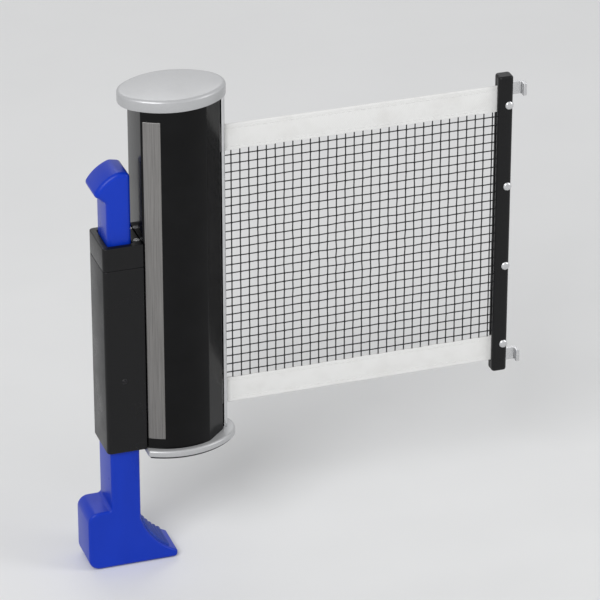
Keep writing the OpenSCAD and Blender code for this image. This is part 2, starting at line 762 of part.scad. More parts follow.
// Bush that stands on z and holds the spindle; up is 1 for the lower one.
module bush(z, up) color(black) at_roller(z) mirror([0, 0, up > 0 ? 0 : 1])
  difference() {
    union() {
      cylinder(h = bush_h, r = bush_r);
      translate([0, 0, -web]) cylinder(h = web + over, r = spigot_r);
    }
    translate([0, 0, -web + spindle_play]) cylinder(h = far, r = spindle_r + hole_gap / 2);
  }

module lower_bush() bush(floor_top, 1);
module upper_bush() bush(ceiling, -1);

module spring_anchor() color(steel)
  ring(torsion_low - anchor_h, torsion_low, anchor_r, spindle_r + hole_gap / 2);

module roller_spring() color(steel)
  ring(torsion_low, torsion_high, torsion_d / 2, torsion_d / 2 - torsion_wall);

module roller_tube() color(silver) ring(tube_low, tube_high, tube_d / 2, tube_bore / 2);

// Plug of the roller's tube: its lip lies on the tube's end and its hub runs out to z.
module plug(z_end, z_hub, up) color(white) difference() {
  union() {
    at_roller(up > 0 ? z_end : z_end - plug_l)
      cylinder(h = plug_l, r = tube_bore / 2 - hole_gap / 2);
    at_roller(up > 0 ? z_end - plug_lip : z_end) cylinder(h = plug_lip, r = tube_d / 2);
    at_roller(min(z_hub, z_end)) cylinder(h = abs(z_hub - z_end), r = hub_r);
  }
  at_roller(-over) cylinder(h = far, r = spindle_r + run_gap);
}

module roller_plug_lower() plug(tube_low, floor_top + bush_h + end_play, 1);
module roller_plug_upper() plug(tube_high, ceiling - bush_h - end_play, -1);

module net_roll() color(black)
  ring(net_bottom, net_top, roll_d / 2, tube_d / 2 + roll_gap);

// ---------- net ----------

// Piece of the net that runs from the roll to the rods, between two heights.
module lead(z0, z1, t)
  translate([lead_start[0], lead_start[1], z0]) rotate([0, 0, lead_angle])
    translate([0, -t / 2, 0]) cube([lead_l, t, z1 - z0]);

module net_lead() color(black) lead(mesh_low, mesh_high, mesh_t);
module band_lead() color(white) {
  lead(net_bottom, mesh_low, band_t);
  lead(mesh_high, net_top, band_t);
}

module net_panel() color(black) {
  pitch_x = (net_l - thread_w) / gaps_along;
  pitch_z = (mesh_high - mesh_low - thread_w) / gaps_up;
  translate([rod_x, mesh_t / 2, mesh_low]) rotate([90, 0, 0]) linear_extrude(mesh_t)
    difference() {
      square([net_l, mesh_high - mesh_low]);
      for (i = [0:gaps_along - 1], k = [0:gaps_up - 1])
        translate([thread_w + i * pitch_x, thread_w + k * pitch_z])
          square([pitch_x - thread_w, pitch_z - thread_w]);
    }
}

module band(z0, z1) color(white)
  block([rod_x, -band_t / 2, z0], [rod_x + net_l, band_t / 2, z1]);

module net_top_band() band(mesh_high, net_top);
module net_bottom_band() band(net_bottom, mesh_low);

// ---------- end bar ----------

module end_bar_half(side) color(black) difference() {
  block([net_out, side > 0 ? 0 : -end_bar_t / 2, end_low],
        [net_out + bar_l, side > 0 ? end_bar_t / 2 : 0, end_high]);
  block([net_out - over, -groove_half, net_bottom - groove_ends],
        [net_out + groove_depth + groove_room, groove_half, net_top + groove_ends]);
  for (z = rivet_z) along_y(rivet_x, -far / 4, far / 4, z, rivet_r + hole_gap / 2);
  for (z = hook_levels)
    block([net_out + bar_l - hook_root, -hook_t / 2 - hole_gap, z - hole_gap],
          [far, hook_t / 2 + hole_gap, z + hook_h + hole_gap]);
}

module end_bar_front() end_bar_half(-1);
module end_bar_rear() end_bar_half(1);

module end_bar_rivets() color(steel) for (z = rivet_z) {
  along_y(rivet_x, -end_bar_t / 2, end_bar_t / 2, z, rivet_r);
  along_y(rivet_x, -end_bar_t / 2 - rivet_head_h, -end_bar_t / 2, z, rivet_head_r);
  along_y(rivet_x, end_bar_t / 2, end_bar_t / 2 + rivet_head_h, z, rivet_head_r);
}

module end_hook(z) color(steel) {
  x0 = net_out + bar_l - hook_root;
  x1 = net_out + bar_l + hook_reach;
  block([x0, -hook_t / 2, z], [x1, hook_t / 2, z + hook_h]);
  block([x1 - hook_t, -hook_t / 2 - hook_turn, z], [x1, -hook_t / 2, z + hook_h]);
}

module end_hook_lower() end_hook(hook_levels[0]);
module end_hook_upper() end_hook(hook_levels[1]);

housing_front();
housing_rear();
housing_screws();
top_cap();
cap_screws();
base_plate();
base_pad();
base_screws();
trim_strip_front();
trim_strip_rear();
mouth_rod_front();
mouth_rod_rear();
clamp_guide();
guide_collar();
guide_screws();
collar_screws();
roller_spindle();
upper_bush();
lower_bush();
spring_anchor();
roller_spring();
spring_pin();
spring_seat();
clamp_spring();
roller_tube();
roller_plug_upper();
roller_plug_lower();
net_roll();
jaw();
jaw_pad();
thumb_tab();
tab_pins();
end_bar_front();
end_bar_rear();
end_bar_rivets();
end_hook_upper();
end_hook_lower();
net_lead();
band_lead();
net_panel();
net_top_band();
net_bottom_band();
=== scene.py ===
import math

import bmesh
import bpy
import numpy as np
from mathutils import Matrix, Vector


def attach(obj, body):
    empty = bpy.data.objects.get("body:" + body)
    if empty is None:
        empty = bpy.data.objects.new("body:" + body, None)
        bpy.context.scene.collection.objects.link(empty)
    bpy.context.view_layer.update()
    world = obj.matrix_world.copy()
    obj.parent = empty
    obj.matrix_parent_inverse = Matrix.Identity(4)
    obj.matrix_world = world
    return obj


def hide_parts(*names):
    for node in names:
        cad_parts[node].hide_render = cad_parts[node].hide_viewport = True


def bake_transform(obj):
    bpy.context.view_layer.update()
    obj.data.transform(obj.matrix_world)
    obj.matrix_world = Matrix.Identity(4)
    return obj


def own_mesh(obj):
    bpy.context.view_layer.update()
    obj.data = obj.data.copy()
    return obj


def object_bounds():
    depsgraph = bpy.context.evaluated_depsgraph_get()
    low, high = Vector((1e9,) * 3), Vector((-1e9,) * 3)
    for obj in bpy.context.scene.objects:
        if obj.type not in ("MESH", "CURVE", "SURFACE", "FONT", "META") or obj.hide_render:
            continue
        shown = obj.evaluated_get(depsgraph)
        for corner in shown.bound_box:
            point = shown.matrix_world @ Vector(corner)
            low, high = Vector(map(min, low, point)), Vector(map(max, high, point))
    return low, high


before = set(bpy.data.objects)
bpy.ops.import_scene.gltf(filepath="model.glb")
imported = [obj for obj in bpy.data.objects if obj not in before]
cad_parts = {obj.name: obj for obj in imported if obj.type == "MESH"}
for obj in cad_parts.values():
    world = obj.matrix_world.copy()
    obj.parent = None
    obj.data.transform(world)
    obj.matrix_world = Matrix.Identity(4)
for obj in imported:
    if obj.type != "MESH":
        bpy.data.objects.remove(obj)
cad_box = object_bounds()

# Lengths are in millimetres, in the part's own frame: x along the net, y across it, z up.
# An oval is given by its half length, its half width and the radius of its ends.
# GAP lies between pieces that fit into each other; SIDES names a side by the sign of its y.
MM = 0.001
GAP = 0.05
SIDES = {-1: "front", 1: "rear"}

# Housing, cut flat at its outer end and turned in to a narrow mouth at the other
HOUSING_OVAL, HOUSING_TOP, WALL = (22, 15.5, 12.5), 169.0, 1.8
OUTER_END, MOUTH_END, MOUTH_HALF, TAPER_FROM = -17.0, 20.4, 4.6, 11.6
SLOT_HALF, SLOT_LOW, SLOT_HIGH, SLOT_LIP = 3.3, 13.5, 154.0, 0.4
SCREW_X, SCREW_Z, SCREW_SEAT = (-11.45, 7.55), (9.25, 162.15), 8.5
BOSS_R, HEAD_R, BORE_R = 3.9, 2.55, 1.45
TRIM_FROM, TRIM_TO, TRIM_LOW, TRIM_HIGH, TRIM_DEPTH = -16.2, -9.2, 9.2, 164.0, 0.85

# Cap, flange with its pad, and rods
CAP_OVAL, POST_TOP = (24, 17, 12.5), 175.0
FLANGE_OVAL, FLANGE_TOP, PAD_TOP = (27, 18, 12.5), 4.2, 1.2
ROD_X, ROD_Y, ROD_R, ROD_LOW, ROD_HIGH = 22.0, 2.4, 1.1, 2.4, 170.9

# Sleeve with its collar, and the spring with its cross pin
GUIDE_OUT, GUIDE_HALF, GUIDE_TOP, COLLAR_TOP = -35.3, 11.5, 95.0, 106.0
COLLAR_SCREW_X, COLLAR_SCREW_Y, COLLAR_SCREW_R = -18.5, 6, 1.4
SPRING_LOW, SPRING_HIGH, SPRING_R, SPRING_WELL_R = 43.0, 84.0, 3.3, 4.15
PIN_Z, PIN_SLOT_HALF, PIN_SLOT_LOW, PIN_SLOT_HIGH = 40.0, 1.7, 12.7, 48.3

# Clamp slider: stem, heel and toe of the jaw, bar and foot of the thumb tab
SLIDER_X, STEM_OUT, STEM_IN, STEM_HALF, SHOULDER = -26.8, -33.55, -20.05, 9.75, 64.0
HEEL_X, HEEL_TOP, SOLE, TOE_X, TOE_TOP = -44.55, -26.0, -55.0, -3.05, -51.86
TOE_HEART, TOE_R, GRIP_R = (8.96, -24.37), 30.0, 28.85
BAR_OUT, BAR_IN, BAR_HALF, TAB_TOP = -32.3, -21.3, 8.5, 140.0
FOOT_X, FOOT_Y, FOOT_LOW = 5.3, 7.0, 52.0

# Net, its roller and the bar at its free end
NET_LOW, NET_HIGH, NET_END, NET_TRAVEL = 15.0, 152.5, 153.0, 126.0
BAND, SEAMS, STITCH = 12.5, (2.1, 10.9), 3.0
LEAD_FROM, LEAD_ANGLE, LEAD_LENGTH = (5.044, -10.93), 32.8, 19.67
ROLLER_X, ROLL_R = -2.0, 12.2
END_BAR_FROM, END_BAR_TO, END_BAR_HALF, END_BAR_LOW, END_BAR_HIGH = 150.0, 157.0, 3.2, 10.0, 157.5
GROOVE_TO, GROOVE_HALF, GROOVE_LOW, GROOVE_HIGH = 153.1, 0.75, 14.7, 152.8
RIVET_X, HOOK_TURN, HOOK_TIP = 155.0, 161.2, 163.0


# ---------- camera ----------

def placed(name, data):
    """A new object in the scene."""
    made = bpy.data.objects.new(name, data)
    bpy.context.scene.collection.objects.link(made)
    return made


def aim_camera(azimuth, elevation, distance, margin):
    """A long lens at the given angle, centred on the whole object and just wide enough for it."""
    camera = placed("camera", bpy.data.cameras.new("camera"))
    bpy.context.scene.camera = camera
    low, high = cad_box
    a, e = math.radians(azimuth), math.radians(elevation)
    back = Vector((math.sin(a) * math.cos(e), -math.cos(a) * math.cos(e), math.sin(e)))
    right = Vector((math.cos(a), math.sin(a), 0))
    up = back.cross(right)
    aim, reach = (low + high) / 2, 0
    for _ in range(3):
        spot = aim + back * distance
        seen = []
        for x in (low.x, high.x):
            for y in (low.y, high.y):
                for z in (low.z, high.z):
                    ray = Vector((x, y, z)) - spot
                    seen.append((ray.dot(right) / -ray.dot(back), ray.dot(up) / -ray.dot(back)))
        across, upward = [s[0] for s in seen], [s[1] for s in seen]
        aim = aim + right * (max(across) + min(across)) / 2 * distance
        aim = aim + up * (max(upward) + min(upward)) / 2 * distance
        reach = max(max(across) - min(across), max(upward) - min(upward)) / 2
    camera.location = aim + back * distance
    camera.rotation_euler = (-back).to_track_quat("-Z", "Y").to_euler()
    camera.data.angle = 2 * math.atan(reach * margin)
    camera.data.clip_start, camera.data.clip_end = 0.01, 50


aim_camera(azimuth=-18.5, elevation=27.5, distance=1.8, margin=1.07)


# ---------- nodes of a material ----------

class Value:
    """A socket that can be used in Python expressions; each operator adds its Math node."""

    def __init__(self, nodes, socket):
        self.nodes, self.socket = nodes, socket

    def maths(self, operation, *terms):
        """The result of a Math node on values or numbers."""
        return self.nodes.node("ShaderNodeMath", {"operation": operation}, dict(enumerate(terms)))

    def __add__(self, other):
        return self.maths("ADD", self, other)

    def __radd__(self, other):
        return self.maths("ADD", other, self)

    def __mul__(self, other):
        return self.maths("MULTIPLY", self, other)

    def __rmul__(self, other):
        return self.maths("MULTIPLY", other, self)

    def sin(self):
        return self.maths("SINE", self)


class Nodes:
    """The node tree of a material or of the world, emptied first."""

    def __init__(self, holder):
        holder.use_nodes = True
        self.tree = holder.node_tree
        self.tree.nodes.clear()

    def node(self, kind, settings=None, values=None, output=0):
        """Adds a node: its settings first, then the values or links of its sockets."""
        made = self.tree.nodes.new(kind)
        for name, setting in (settings or {}).items():
            setattr(made, name, setting)
        for name, value in (values or {}).items():
            self.feed(made.inputs[name], value)
        return Value(self, made.outputs[output]) if len(made.outputs) else None

    def feed(self, socket, value):
        """Links a Value to the socket, or sets the socket to a constant."""
        if isinstance(value, Value):
            self.tree.links.new(value.socket, socket)
        elif isinstance(value, tuple) and len(value) == 3 and socket.type == "RGBA":
            socket.default_value = (*value, 1.0)
        else:
            socket.default_value = value


class Finish(Nodes):
    """One material and the nodes that its finish is made of."""

    def __init__(self, name):
        self.material = bpy.data.materials.new(name)
        super().__init__(self.material)

    def place(self):
        """Position on the piece, in metres."""
        return self.node("ShaderNodeTexCoord", output="Object")

    def stretched(self, x, y, z):
        """The position, multiplied by a scale of its own on each axis."""
        return self.node("ShaderNodeVectorMath", {"operation": "MULTIPLY"},
                         {0: self.place(), 1: (x, y, z)})

    def along(self, axis):
        """One coordinate of the position, in metres."""
        return self.node("ShaderNodeSeparateXYZ", values={0: self.place()}, output=axis)

    def noise(self, scale, detail=2.0, where=None, roughness=0.5):
        return self.node("ShaderNodeTexNoise", values={
            "Vector": where or self.place(), "Scale": scale, "Detail": detail, "Roughness": roughness})

    def range(self, value, low, high, to_low, to_high):
        return self.node("ShaderNodeMapRange", {"clamp": True}, {
            "Value": value, "From Min": low, "From Max": high, "To Min": to_low, "To Max": to_high})

    def mix(self, share, a, b):
        return self.node("ShaderNodeMix", {"data_type": "RGBA", "clamp_factor": True},
                         {0: share, 6: a, 7: b}, output=2)

    def tint(self, pattern, low, high, a, b):
        """Colour that goes from a to b while the pattern goes from low to high."""
        return self.mix(self.range(pattern, low, high, 0, 1), a, b)

    def bump(self, height, distance, strength):
        return self.node("ShaderNodeBump", values={
            "Height": height, "Distance": distance, "Strength": strength})

    def shine(self, **sockets):
        """The surface's shader; a name's underscores stand for the blanks in its socket's name."""
        values = {name.replace("_", " "): value for name, value in sockets.items()}
        surface = self.node("ShaderNodeBsdfPrincipled", values=values)
        self.node("ShaderNodeOutputMaterial", values={"Surface": surface})
        return self.material


# ---------- light and floor, in metres ----------

def soft_lamp(name, place, size, power):
    """Rectangular lamp that points at the middle of the clamp."""
    middle = Vector((0.05, 0, 0.05))
    lamp = placed(name, bpy.data.lights.new(name, "AREA"))
    lamp.data.shape, lamp.data.size, lamp.data.size_y = "RECTANGLE", *size
    lamp.data.energy = power
    lamp.location = place
    lamp.rotation_euler = (middle - Vector(place)).to_track_quat("-Z", "Y").to_euler()


def light_studio():
    """Pale surroundings, a large lamp at the left, a narrow one for edges and a weak one behind."""
    world = bpy.data.worlds.new("studio")
    bpy.context.scene.world = world
    sky = Nodes(world)
    seen, mirrored, through = (sky.node("ShaderNodeLightPath", output=f"Is {ray} Ray")
                               for ray in ("Camera", "Glossy", "Transmission"))
    lighting = sky.node("ShaderNodeBackground", values={"Color": (1.0, 1.0, 1.0), "Strength": 0.42})
    backdrop = sky.node("ShaderNodeBackground", values={"Color": (0.86, 0.865, 0.875), "Strength": 1.0})
    share = seen + mirrored + through
    surface = sky.node("ShaderNodeMixShader", values={0: share, 1: lighting, 2: backdrop})
    sky.node("ShaderNodeOutputWorld", values={"Surface": surface})
    soft_lamp("lamp_left", (-1.1, -1.3, 1.5), (1.1, 1.1), 29)
    soft_lamp("lamp_right", (1.6, -0.9, 0.9), (0.7, 1.2), 9)
    soft_lamp("lamp_back", (0.2, 1.8, 1.6), (1.4, 0.8), 6)


def lay_floor():
    """Wide pale floor just under the lowest point of the clamp."""
    clearance, half = 0.0004, 9
    level = cad_box[0].z - clearance
    corners = [(x * half, y * half, level) for x, y in ((-1, -1), (1, -1), (1, 1), (-1, 1))]
    mesh = bpy.data.meshes.new("floor")
    mesh.from_pydata(corners, [], [(0, 1, 2, 3)])
    floor = placed("floor", mesh)
    paint = Finish("floor_paint")
    cloud = paint.noise(14.0, 3.0)
    mesh.materials.append(paint.shine(
        Base_Color=paint.tint(cloud, 0.3, 0.7, (0.80, 0.805, 0.81), (0.82, 0.825, 0.83)),
        Roughness=0.75))


light_studio()
lay_floor()
bpy.context.scene.view_settings.view_transform = "Standard"


# ---------- outlines ----------

def arc(cx, cy, r, start, stop, steps):
    """Points on an arc round (cx, cy), from angle start to stop in degrees."""
    turns = [math.radians(start + (stop - start) * i / steps) for i in range(steps + 1)]
    return [(cx + r * math.cos(t), cy + r * math.sin(t)) for t in turns]


def bow(start, stop, rise, steps):
    """Points of a shallow curve between two points, which it leaves out; rise is to its left."""
    way = Vector(stop) - Vector(start)
    side = Vector((-way.y, way.x)).normalized() * rise
    shares = [i / steps for i in range(1, steps)]
    return [tuple(Vector(start) + way * t + side * (4 * t * (1 - t))) for t in shares]


def rounded(corners, steps=5):
    """Closed outline through corners (x, y, radius), each rounded by its own radius."""
    outline = []
    for i, (x, y, r) in enumerate(corners):
        if r == 0:
            outline.append((x, y))
            continue
        corner = Vector((x, y))
        back = (Vector(corners[i - 1][:2]) - corner).normalized()
        ahead = (Vector(corners[(i + 1) % len(corners)][:2]) - corner).normalized()
        half = back.angle(ahead) / 2
        centre = corner + (back + ahead).normalized() * (r / math.sin(half))
        start = corner + back * (r / math.tan(half)) - centre
        stop = corner + ahead * (r / math.tan(half)) - centre
        turn = math.atan2(start.x * stop.y - start.y * stop.x, start.dot(stop))
        for k in range(steps + 1):
            c, s = math.cos(turn * k / steps), math.sin(turn * k / steps)
            outline.append((centre.x + start.x * c - start.y * s, centre.y + start.x * s + start.y * c))
    return outline


def block_outline(x0, x1, half, left, right):
    """Rectangle with corner radii left at x0 and right at x1."""
    return rounded([(x1, -half, right), (x1, half, right), (x0, half, left), (x0, -half, left)])


def anticlockwise(outline):
    """The outline, turned round where it runs clockwise."""
    ahead = outline[1:] + outline[:1]
    twice_area = sum(a[0] * b[1] - b[0] * a[1] for a, b in zip(outline, ahead))
    return outline[::-1] if twice_area < 0 else outline


def drawn_in(outline, depth):
    """The outline drawn in by depth along its own normals; it runs anticlockwise."""
    least_length, least_spread = 1e-9, 0.2
    points = np.array(outline, float)
    before = points - np.roll(points, 1, 0)
    after = np.roll(points, -1, 0) - points
    normals = []
    for way in (before, after):
        way = way / np.maximum(np.linalg.norm(way, axis=1), least_length)[:, None]
        normals.append(np.stack([-way[:, 1], way[:, 0]], 1))
    spread = 1 + (normals[0] * normals[1]).sum(1)
    moved = points + depth * (normals[0] + normals[1]) / np.maximum(spread, least_spread)[:, None]
    return [tuple(p) for p in moved]


def oval_arc(oval, inset=0.0):
    """Half length, half width, end radius, side radius and the place where both arcs meet."""
    a, b, r = (size - inset for size in oval)
    side = ((a - r) ** 2 + b * b - r * r) / (2 * (b - r))
    return a, b, r, side, side * (a - r) / (side - r)


def oval_y(oval, x, inset=0.0):
    """Half width of the oval at x."""
    a, b, r, side, meet = oval_arc(oval, inset)
    x = abs(x)
    if x <= meet:
        return b - side + math.sqrt(side * side - x * x)
    return math.sqrt(max(r * r - (x - a + r) ** 2, 0.0))


def cut_corner(oval, end, radius, steps=5):
    """Rounded corner where the oval is cut flat at x = end > 0, from the flat to the curve."""
    a, b, r, side, meet = oval_arc(oval, radius)
    x, y = end - radius, oval_y(oval, end - radius, radius)
    heart = (0, b - side) if x <= meet else (a - r, 0)
    turn = math.degrees(math.atan2(y - heart[1], x - heart[0]))
    return arc(x, y, radius, 0, turn, steps)


def oval_end(oval, end, corner):
    """One end of the oval's upper half, from y = 0 to the curve: round, or cut flat at end."""
    a, b, r, side, _ = oval_arc(oval)
    if end is None:
        reach = math.degrees(math.atan2(side - b, a - r))
        return arc(a - r, 0, r, 0, reach, 12)
    return [(end, 0.0)] + cut_corner(oval, end, corner)


def oval_outline(oval, left=None, corner=1.0, steps=22):
    """Closed anticlockwise outline of the oval; its left end is round, or cut flat at left."""
    start = oval_end(oval, None, corner)
    stop = [(-x, y) for x, y in reversed(oval_end(oval, None if left is None else -left, corner))]
    x0, x1 = start[-1][0], stop[0][0]
    between = [x0 + (x1 - x0) * i / steps for i in range(1, steps)]
    upper = start + [(x, oval_y(oval, x)) for x in between] + stop
    lower = [(x, -y) for x, y in reversed(upper)][:-1]
    return upper + (lower[1:] if left is None else lower)


# ---------- shapes ----------

# Edges that turn by more than CREASE degrees stay sharp. RIM is a flat border just inside a
# rounded edge, which keeps the shading of the face in it level.
CREASE, RIM = 32, 0.05


def quarter(radius, steps):
    """Pairs of depth and rise along a rounded edge, from its end face to its side."""
    turns = [math.pi / 2 * i / steps for i in range(steps + 1)]
    return [(radius * (1 - math.sin(t)), radius * (1 - math.cos(t))) for t in turns]


class Shape:
    """Points and faces of one piece, in millimetres."""

    def __init__(self):
        self.points, self.faces = [], []

    def loft(self, rings, ends=(True, True), wrap=False):
        """Skin over rings that have the same number of points."""
        first, n = len(self.points), len(rings[0])
        for ring in rings:
            self.points.extend(tuple(float(c) for c in p) for p in ring)
        pairs = [(i, i + 1) for i in range(len(rings) - 1)]
        if wrap:
            pairs.append((len(rings) - 1, 0))
        for i, j in pairs:
            for k in range(n):
                m = (k + 1) % n
                self.faces.append(tuple(first + q for q in (i * n + k, i * n + m, j * n + m, j * n + k)))
        if not wrap:
            last = first + (len(rings) - 1) * n
            if ends[0]:
                self.faces.append(tuple(first + k for k in reversed(range(n))))
            if ends[1]:
                self.faces.append(tuple(last + k for k in range(n)))
        return self

    def slab(self, outline, low, high, edge, axis="z", steps=4, foot=None):
        """Outline given a thickness, with rounded edges; foot is the lower edge's own radius."""
        foot = edge if foot is None else foot
        rows = [(foot + RIM, low)] if foot else []
        rows += [(depth, low + rise) for depth, rise in (quarter(foot, steps) if foot else [(0, 0)])]
        rows += [(depth, high - rise) for depth, rise in (quarter(edge, steps)[::-1] if edge else [(0, 0)])]
        if edge:
            rows.append((edge + RIM, high))
        rings = []
        for depth, w in rows:
            rings.append([(u, v, w) if axis == "z" else (u, w, v) for u, v in drawn_in(outline, depth)])
        return self.loft(rings)

    def pipe(self, outer, inner, low, high, edge, lip):
        """Upright hollow piece between two outlines of as many points; lip rounds the bore's edges."""
        rows = [(outer, depth, low + rise) for depth, rise in quarter(edge, 4)]
        rows += [(outer, depth, high - rise) for depth, rise in reversed(quarter(edge, 4))]
        rows += [(inner, -lip, high), (inner, 0, high - lip), (inner, 0, low + lip), (inner, -lip, low)]
        rings = [[(x, y, z) for x, y in drawn_in(path, depth)] for path, depth, z in rows]
        return self.loft(rings, wrap=True)

    def turned(self, profile, spot, axis="z", steps=32, wrap=False):
        """Profile of (radius, height) points turned round an axis through spot."""
        rings = []
        for r, h in profile:
            ring = []
            for k in range(steps):
                c, s = r * math.cos(2 * math.pi * k / steps), r * math.sin(2 * math.pi * k / steps)
                ring.append((spot[0] + c, spot[1] + s, spot[2] + h) if axis == "z"
                            else (spot[0] + c, spot[1] + h, spot[2] + s))
            rings.append(ring)
        return self.loft(rings, wrap=wrap)

    def thread(self, path, radii, sides=6):
        """Round thread along a path; radii is one radius or one for each point."""
        slanted = (0.31, 0.93, 0.17)
        path = np.array(path, float)
        radii = np.broadcast_to(np.array(radii, float), len(path))
        ways = np.gradient(path, axis=0)
        ways /= np.linalg.norm(ways, axis=1)[:, None]
        across = np.cross(ways[0], slanted)
        turns = [2 * math.pi * k / sides for k in range(sides)]
        rings = []
        for point, way, radius in zip(path, ways, radii):
            across = across - way * (across @ way)
            across /= np.linalg.norm(across)
            upright = np.cross(way, across)
            rings.append([point + radius * (math.cos(t) * across + math.sin(t) * upright) for t in turns])
        return self.loft(rings)

    def built(self, name, crease):
        """The shape as an object."""
        mesh = bpy.data.meshes.new(name)
        mesh.from_pydata([tuple(c * MM for c in p) for p in self.points], [], self.faces)
        piece = placed(name, mesh)
        tidy(piece, crease)
        return piece

    def show(self, name, material, body, slot, nodes=(), crease=CREASE):
        """Makes the piece, lets it ride on its body and stand for its nodes."""
        piece = self.built(name, crease)
        piece.data.materials.append(material)
        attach(piece, body)
        if nodes:
            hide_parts(*nodes)
        return piece


def tidy(piece, crease):
    """Joins points that coincide, turns faces outward and keeps edges over the crease angle sharp."""
    skin = bmesh.new()
    skin.from_mesh(piece.data)
    bmesh.ops.remove_doubles(skin, verts=skin.verts, dist=1e-6)
    bmesh.ops.dissolve_degenerate(skin, edges=skin.edges, dist=1e-6)
    bmesh.ops.recalc_face_normals(skin, faces=skin.faces)
    for face in skin.faces:
        face.smooth = True
    for edge in skin.edges:
        edge.smooth = len(edge.link_faces) == 2 and edge.calc_face_angle() < math.radians(crease)
    skin.to_mesh(piece.data)
    skin.free()
    piece.data.validate()


def cut(piece, shape):
    """Cuts a shape out of a piece."""
    cutter = shape.built("cutter", CREASE)
    change = piece.modifiers.new("cut", "BOOLEAN")
    change.object, change.solver, change.use_self = cutter, "EXACT", True
    bpy.context.view_layer.update()
    done = bpy.data.meshes.new_from_object(piece.evaluated_get(bpy.context.evaluated_depsgraph_get()))
    piece.modifiers.clear()
    piece.data = done
    bpy.data.objects.remove(cutter)
    tidy(piece, CREASE)


# ---------- finishes ----------

def gloss_black():
    """Deep black moulding with a polished skin: faint orange peel and handling haze."""
    f = Finish("gloss_black")
    haze = f.noise(55.0, 4.0, roughness=0.6)
    peel = f.noise(620.0, 2.0)
    return f.shine(Base_Color=f.tint(haze, 0.35, 0.7, (0.0018, 0.0018, 0.002), (0.004, 0.004, 0.0045)),
                   Roughness=f.range(haze, 0.3, 0.75, 0.10, 0.22), Specular_IOR_Level=0.15,
                   Normal=f.bump(peel, 0.00012, 0.22))


def grained_black():
    """Black moulding with a fine spark-eroded grain."""
    f = Finish("grained_black")
    grain = f.noise(2600.0, 3.0, roughness=0.65)
    patch = f.noise(60.0, 3.0)
    return f.shine(Base_Color=f.tint(grain, 0.3, 0.75, (0.0035, 0.0035, 0.004), (0.009, 0.009, 0.0095)),
                   Roughness=f.range(patch, 0.3, 0.7, 0.24, 0.36), Specular_IOR_Level=0.22,
                   Normal=f.bump(grain, 0.00010, 0.35))


def silver_paint():
    """Satin silver-grey paint with fine flake and a thin clear coat."""
    f = Finish("silver_paint")
    flake = f.noise(9500.0, 1.0)
    cloud = f.noise(70.0, 3.0)
    shade = f.tint(flake, 0.35, 0.68, (0.38, 0.384, 0.392), (0.52, 0.525, 0.535))
    return f.shine(Base_Color=f.mix(f.range(cloud, 0.35, 0.7, 0.0, 0.25), shade, (0.40, 0.404, 0.41)),
                   Metallic=0.25, Roughness=f.range(cloud, 0.3, 0.7, 0.30, 0.38), Coat_Weight=0.15,
                   Coat_Roughness=0.12, Normal=f.bump(flake, 0.00002, 0.15))


def brushed_silver():
    """Silver inlay, brushed along its length."""
    f = Finish("brushed_silver")
    strokes = f.noise(1.0, 3.0, where=f.stretched(4200.0, 4200.0, 45.0))
    return f.shine(Base_Color=f.tint(strokes, 0.3, 0.7, (0.17, 0.165, 0.16), (0.26, 0.252, 0.245)),
                   Metallic=0.85, Roughness=f.range(strokes, 0.3, 0.7, 0.26, 0.40),
                   Normal=f.bump(strokes, 0.00003, 0.35))


def bright_steel(name, low, high, grain):
    """Zinc-bright steel; grain is the scale of its marks."""
    f = Finish(name)
    marks = f.noise(grain, 3.0, roughness=0.6)
    return f.shine(Base_Color=f.tint(marks, 0.3, 0.75, (0.56, 0.565, 0.575), (0.66, 0.66, 0.665)),
                   Metallic=1.0, Roughness=f.range(marks, 0.3, 0.75, low, high),
                   Normal=f.bump(marks, 0.00002, 0.12))


def blackened_steel():
    """Steel pin with a thin, worn black oxide."""
    f = Finish("blackened_steel")
    wear = f.noise(900.0, 4.0, roughness=0.65)
    return f.shine(Base_Color=f.tint(wear, 0.45, 0.75, (0.020, 0.020, 0.022), (0.075, 0.073, 0.072)),
                   Metallic=0.9, Roughness=f.range(wear, 0.3, 0.75, 0.30, 0.46),
                   Normal=f.bump(wear, 0.00004, 0.3))


def drawn_metal():
    """Aluminium tube with lines along its draw."""
    f = Finish("drawn_metal")
    lines = f.noise(1.0, 2.0, where=f.stretched(2600.0, 2600.0, 30.0))
    return f.shine(Base_Color=f.tint(lines, 0.3, 0.7, (0.60, 0.605, 0.61), (0.74, 0.74, 0.745)),
                   Metallic=1.0, Roughness=f.range(lines, 0.3, 0.7, 0.24, 0.36),
                   Normal=f.bump(lines, 0.00003, 0.2))


def royal_blue():
    """Royal blue moulding, half glossy, with faint flow marks and a fine texture."""
    f = Finish("royal_blue")
    flow = f.noise(1.0, 4.0, where=f.stretched(60.0, 60.0, 18.0))
    skin = f.noise(1900.0, 2.0)
    return f.shine(Base_Color=f.tint(flow, 0.1, 0.9, (0.002, 0.026, 0.36), (0.004, 0.040, 0.50)),
                   Roughness=f.range(flow, 0.1, 0.9, 0.23, 0.35), Specular_IOR_Level=0.20,
                   Normal=f.bump(skin, 0.00006, 0.22))


def grip_blue():
    """Soft blue rubber of the jaw's pad."""
    f = Finish("grip_blue")
    speckle = f.noise(3000.0, 2.0)
    wear = f.noise(160.0, 4.0)
    return f.shine(Base_Color=f.tint(wear, 0.35, 0.7, (0.003, 0.030, 0.28), (0.008, 0.045, 0.34)),
                   Roughness=f.range(speckle, 0.3, 0.7, 0.55, 0.72), Normal=f.bump(speckle, 0.00008, 0.4))


def black_rubber():
    """Rubber sheet under the flange, with a fine cloth imprint."""
    f = Finish("black_rubber")
    x, y = f.along("X"), f.along("Y")
    imprint = (x * 5200.0).sin() * (y * 5200.0).sin()
    dust = f.noise(240.0, 4.0)
    return f.shine(Base_Color=f.tint(dust, 0.4, 0.75, (0.018, 0.018, 0.019), (0.035, 0.035, 0.035)),
                   Roughness=f.range(dust, 0.3, 0.7, 0.66, 0.82), Normal=f.bump(imprint, 0.00008, 0.4))


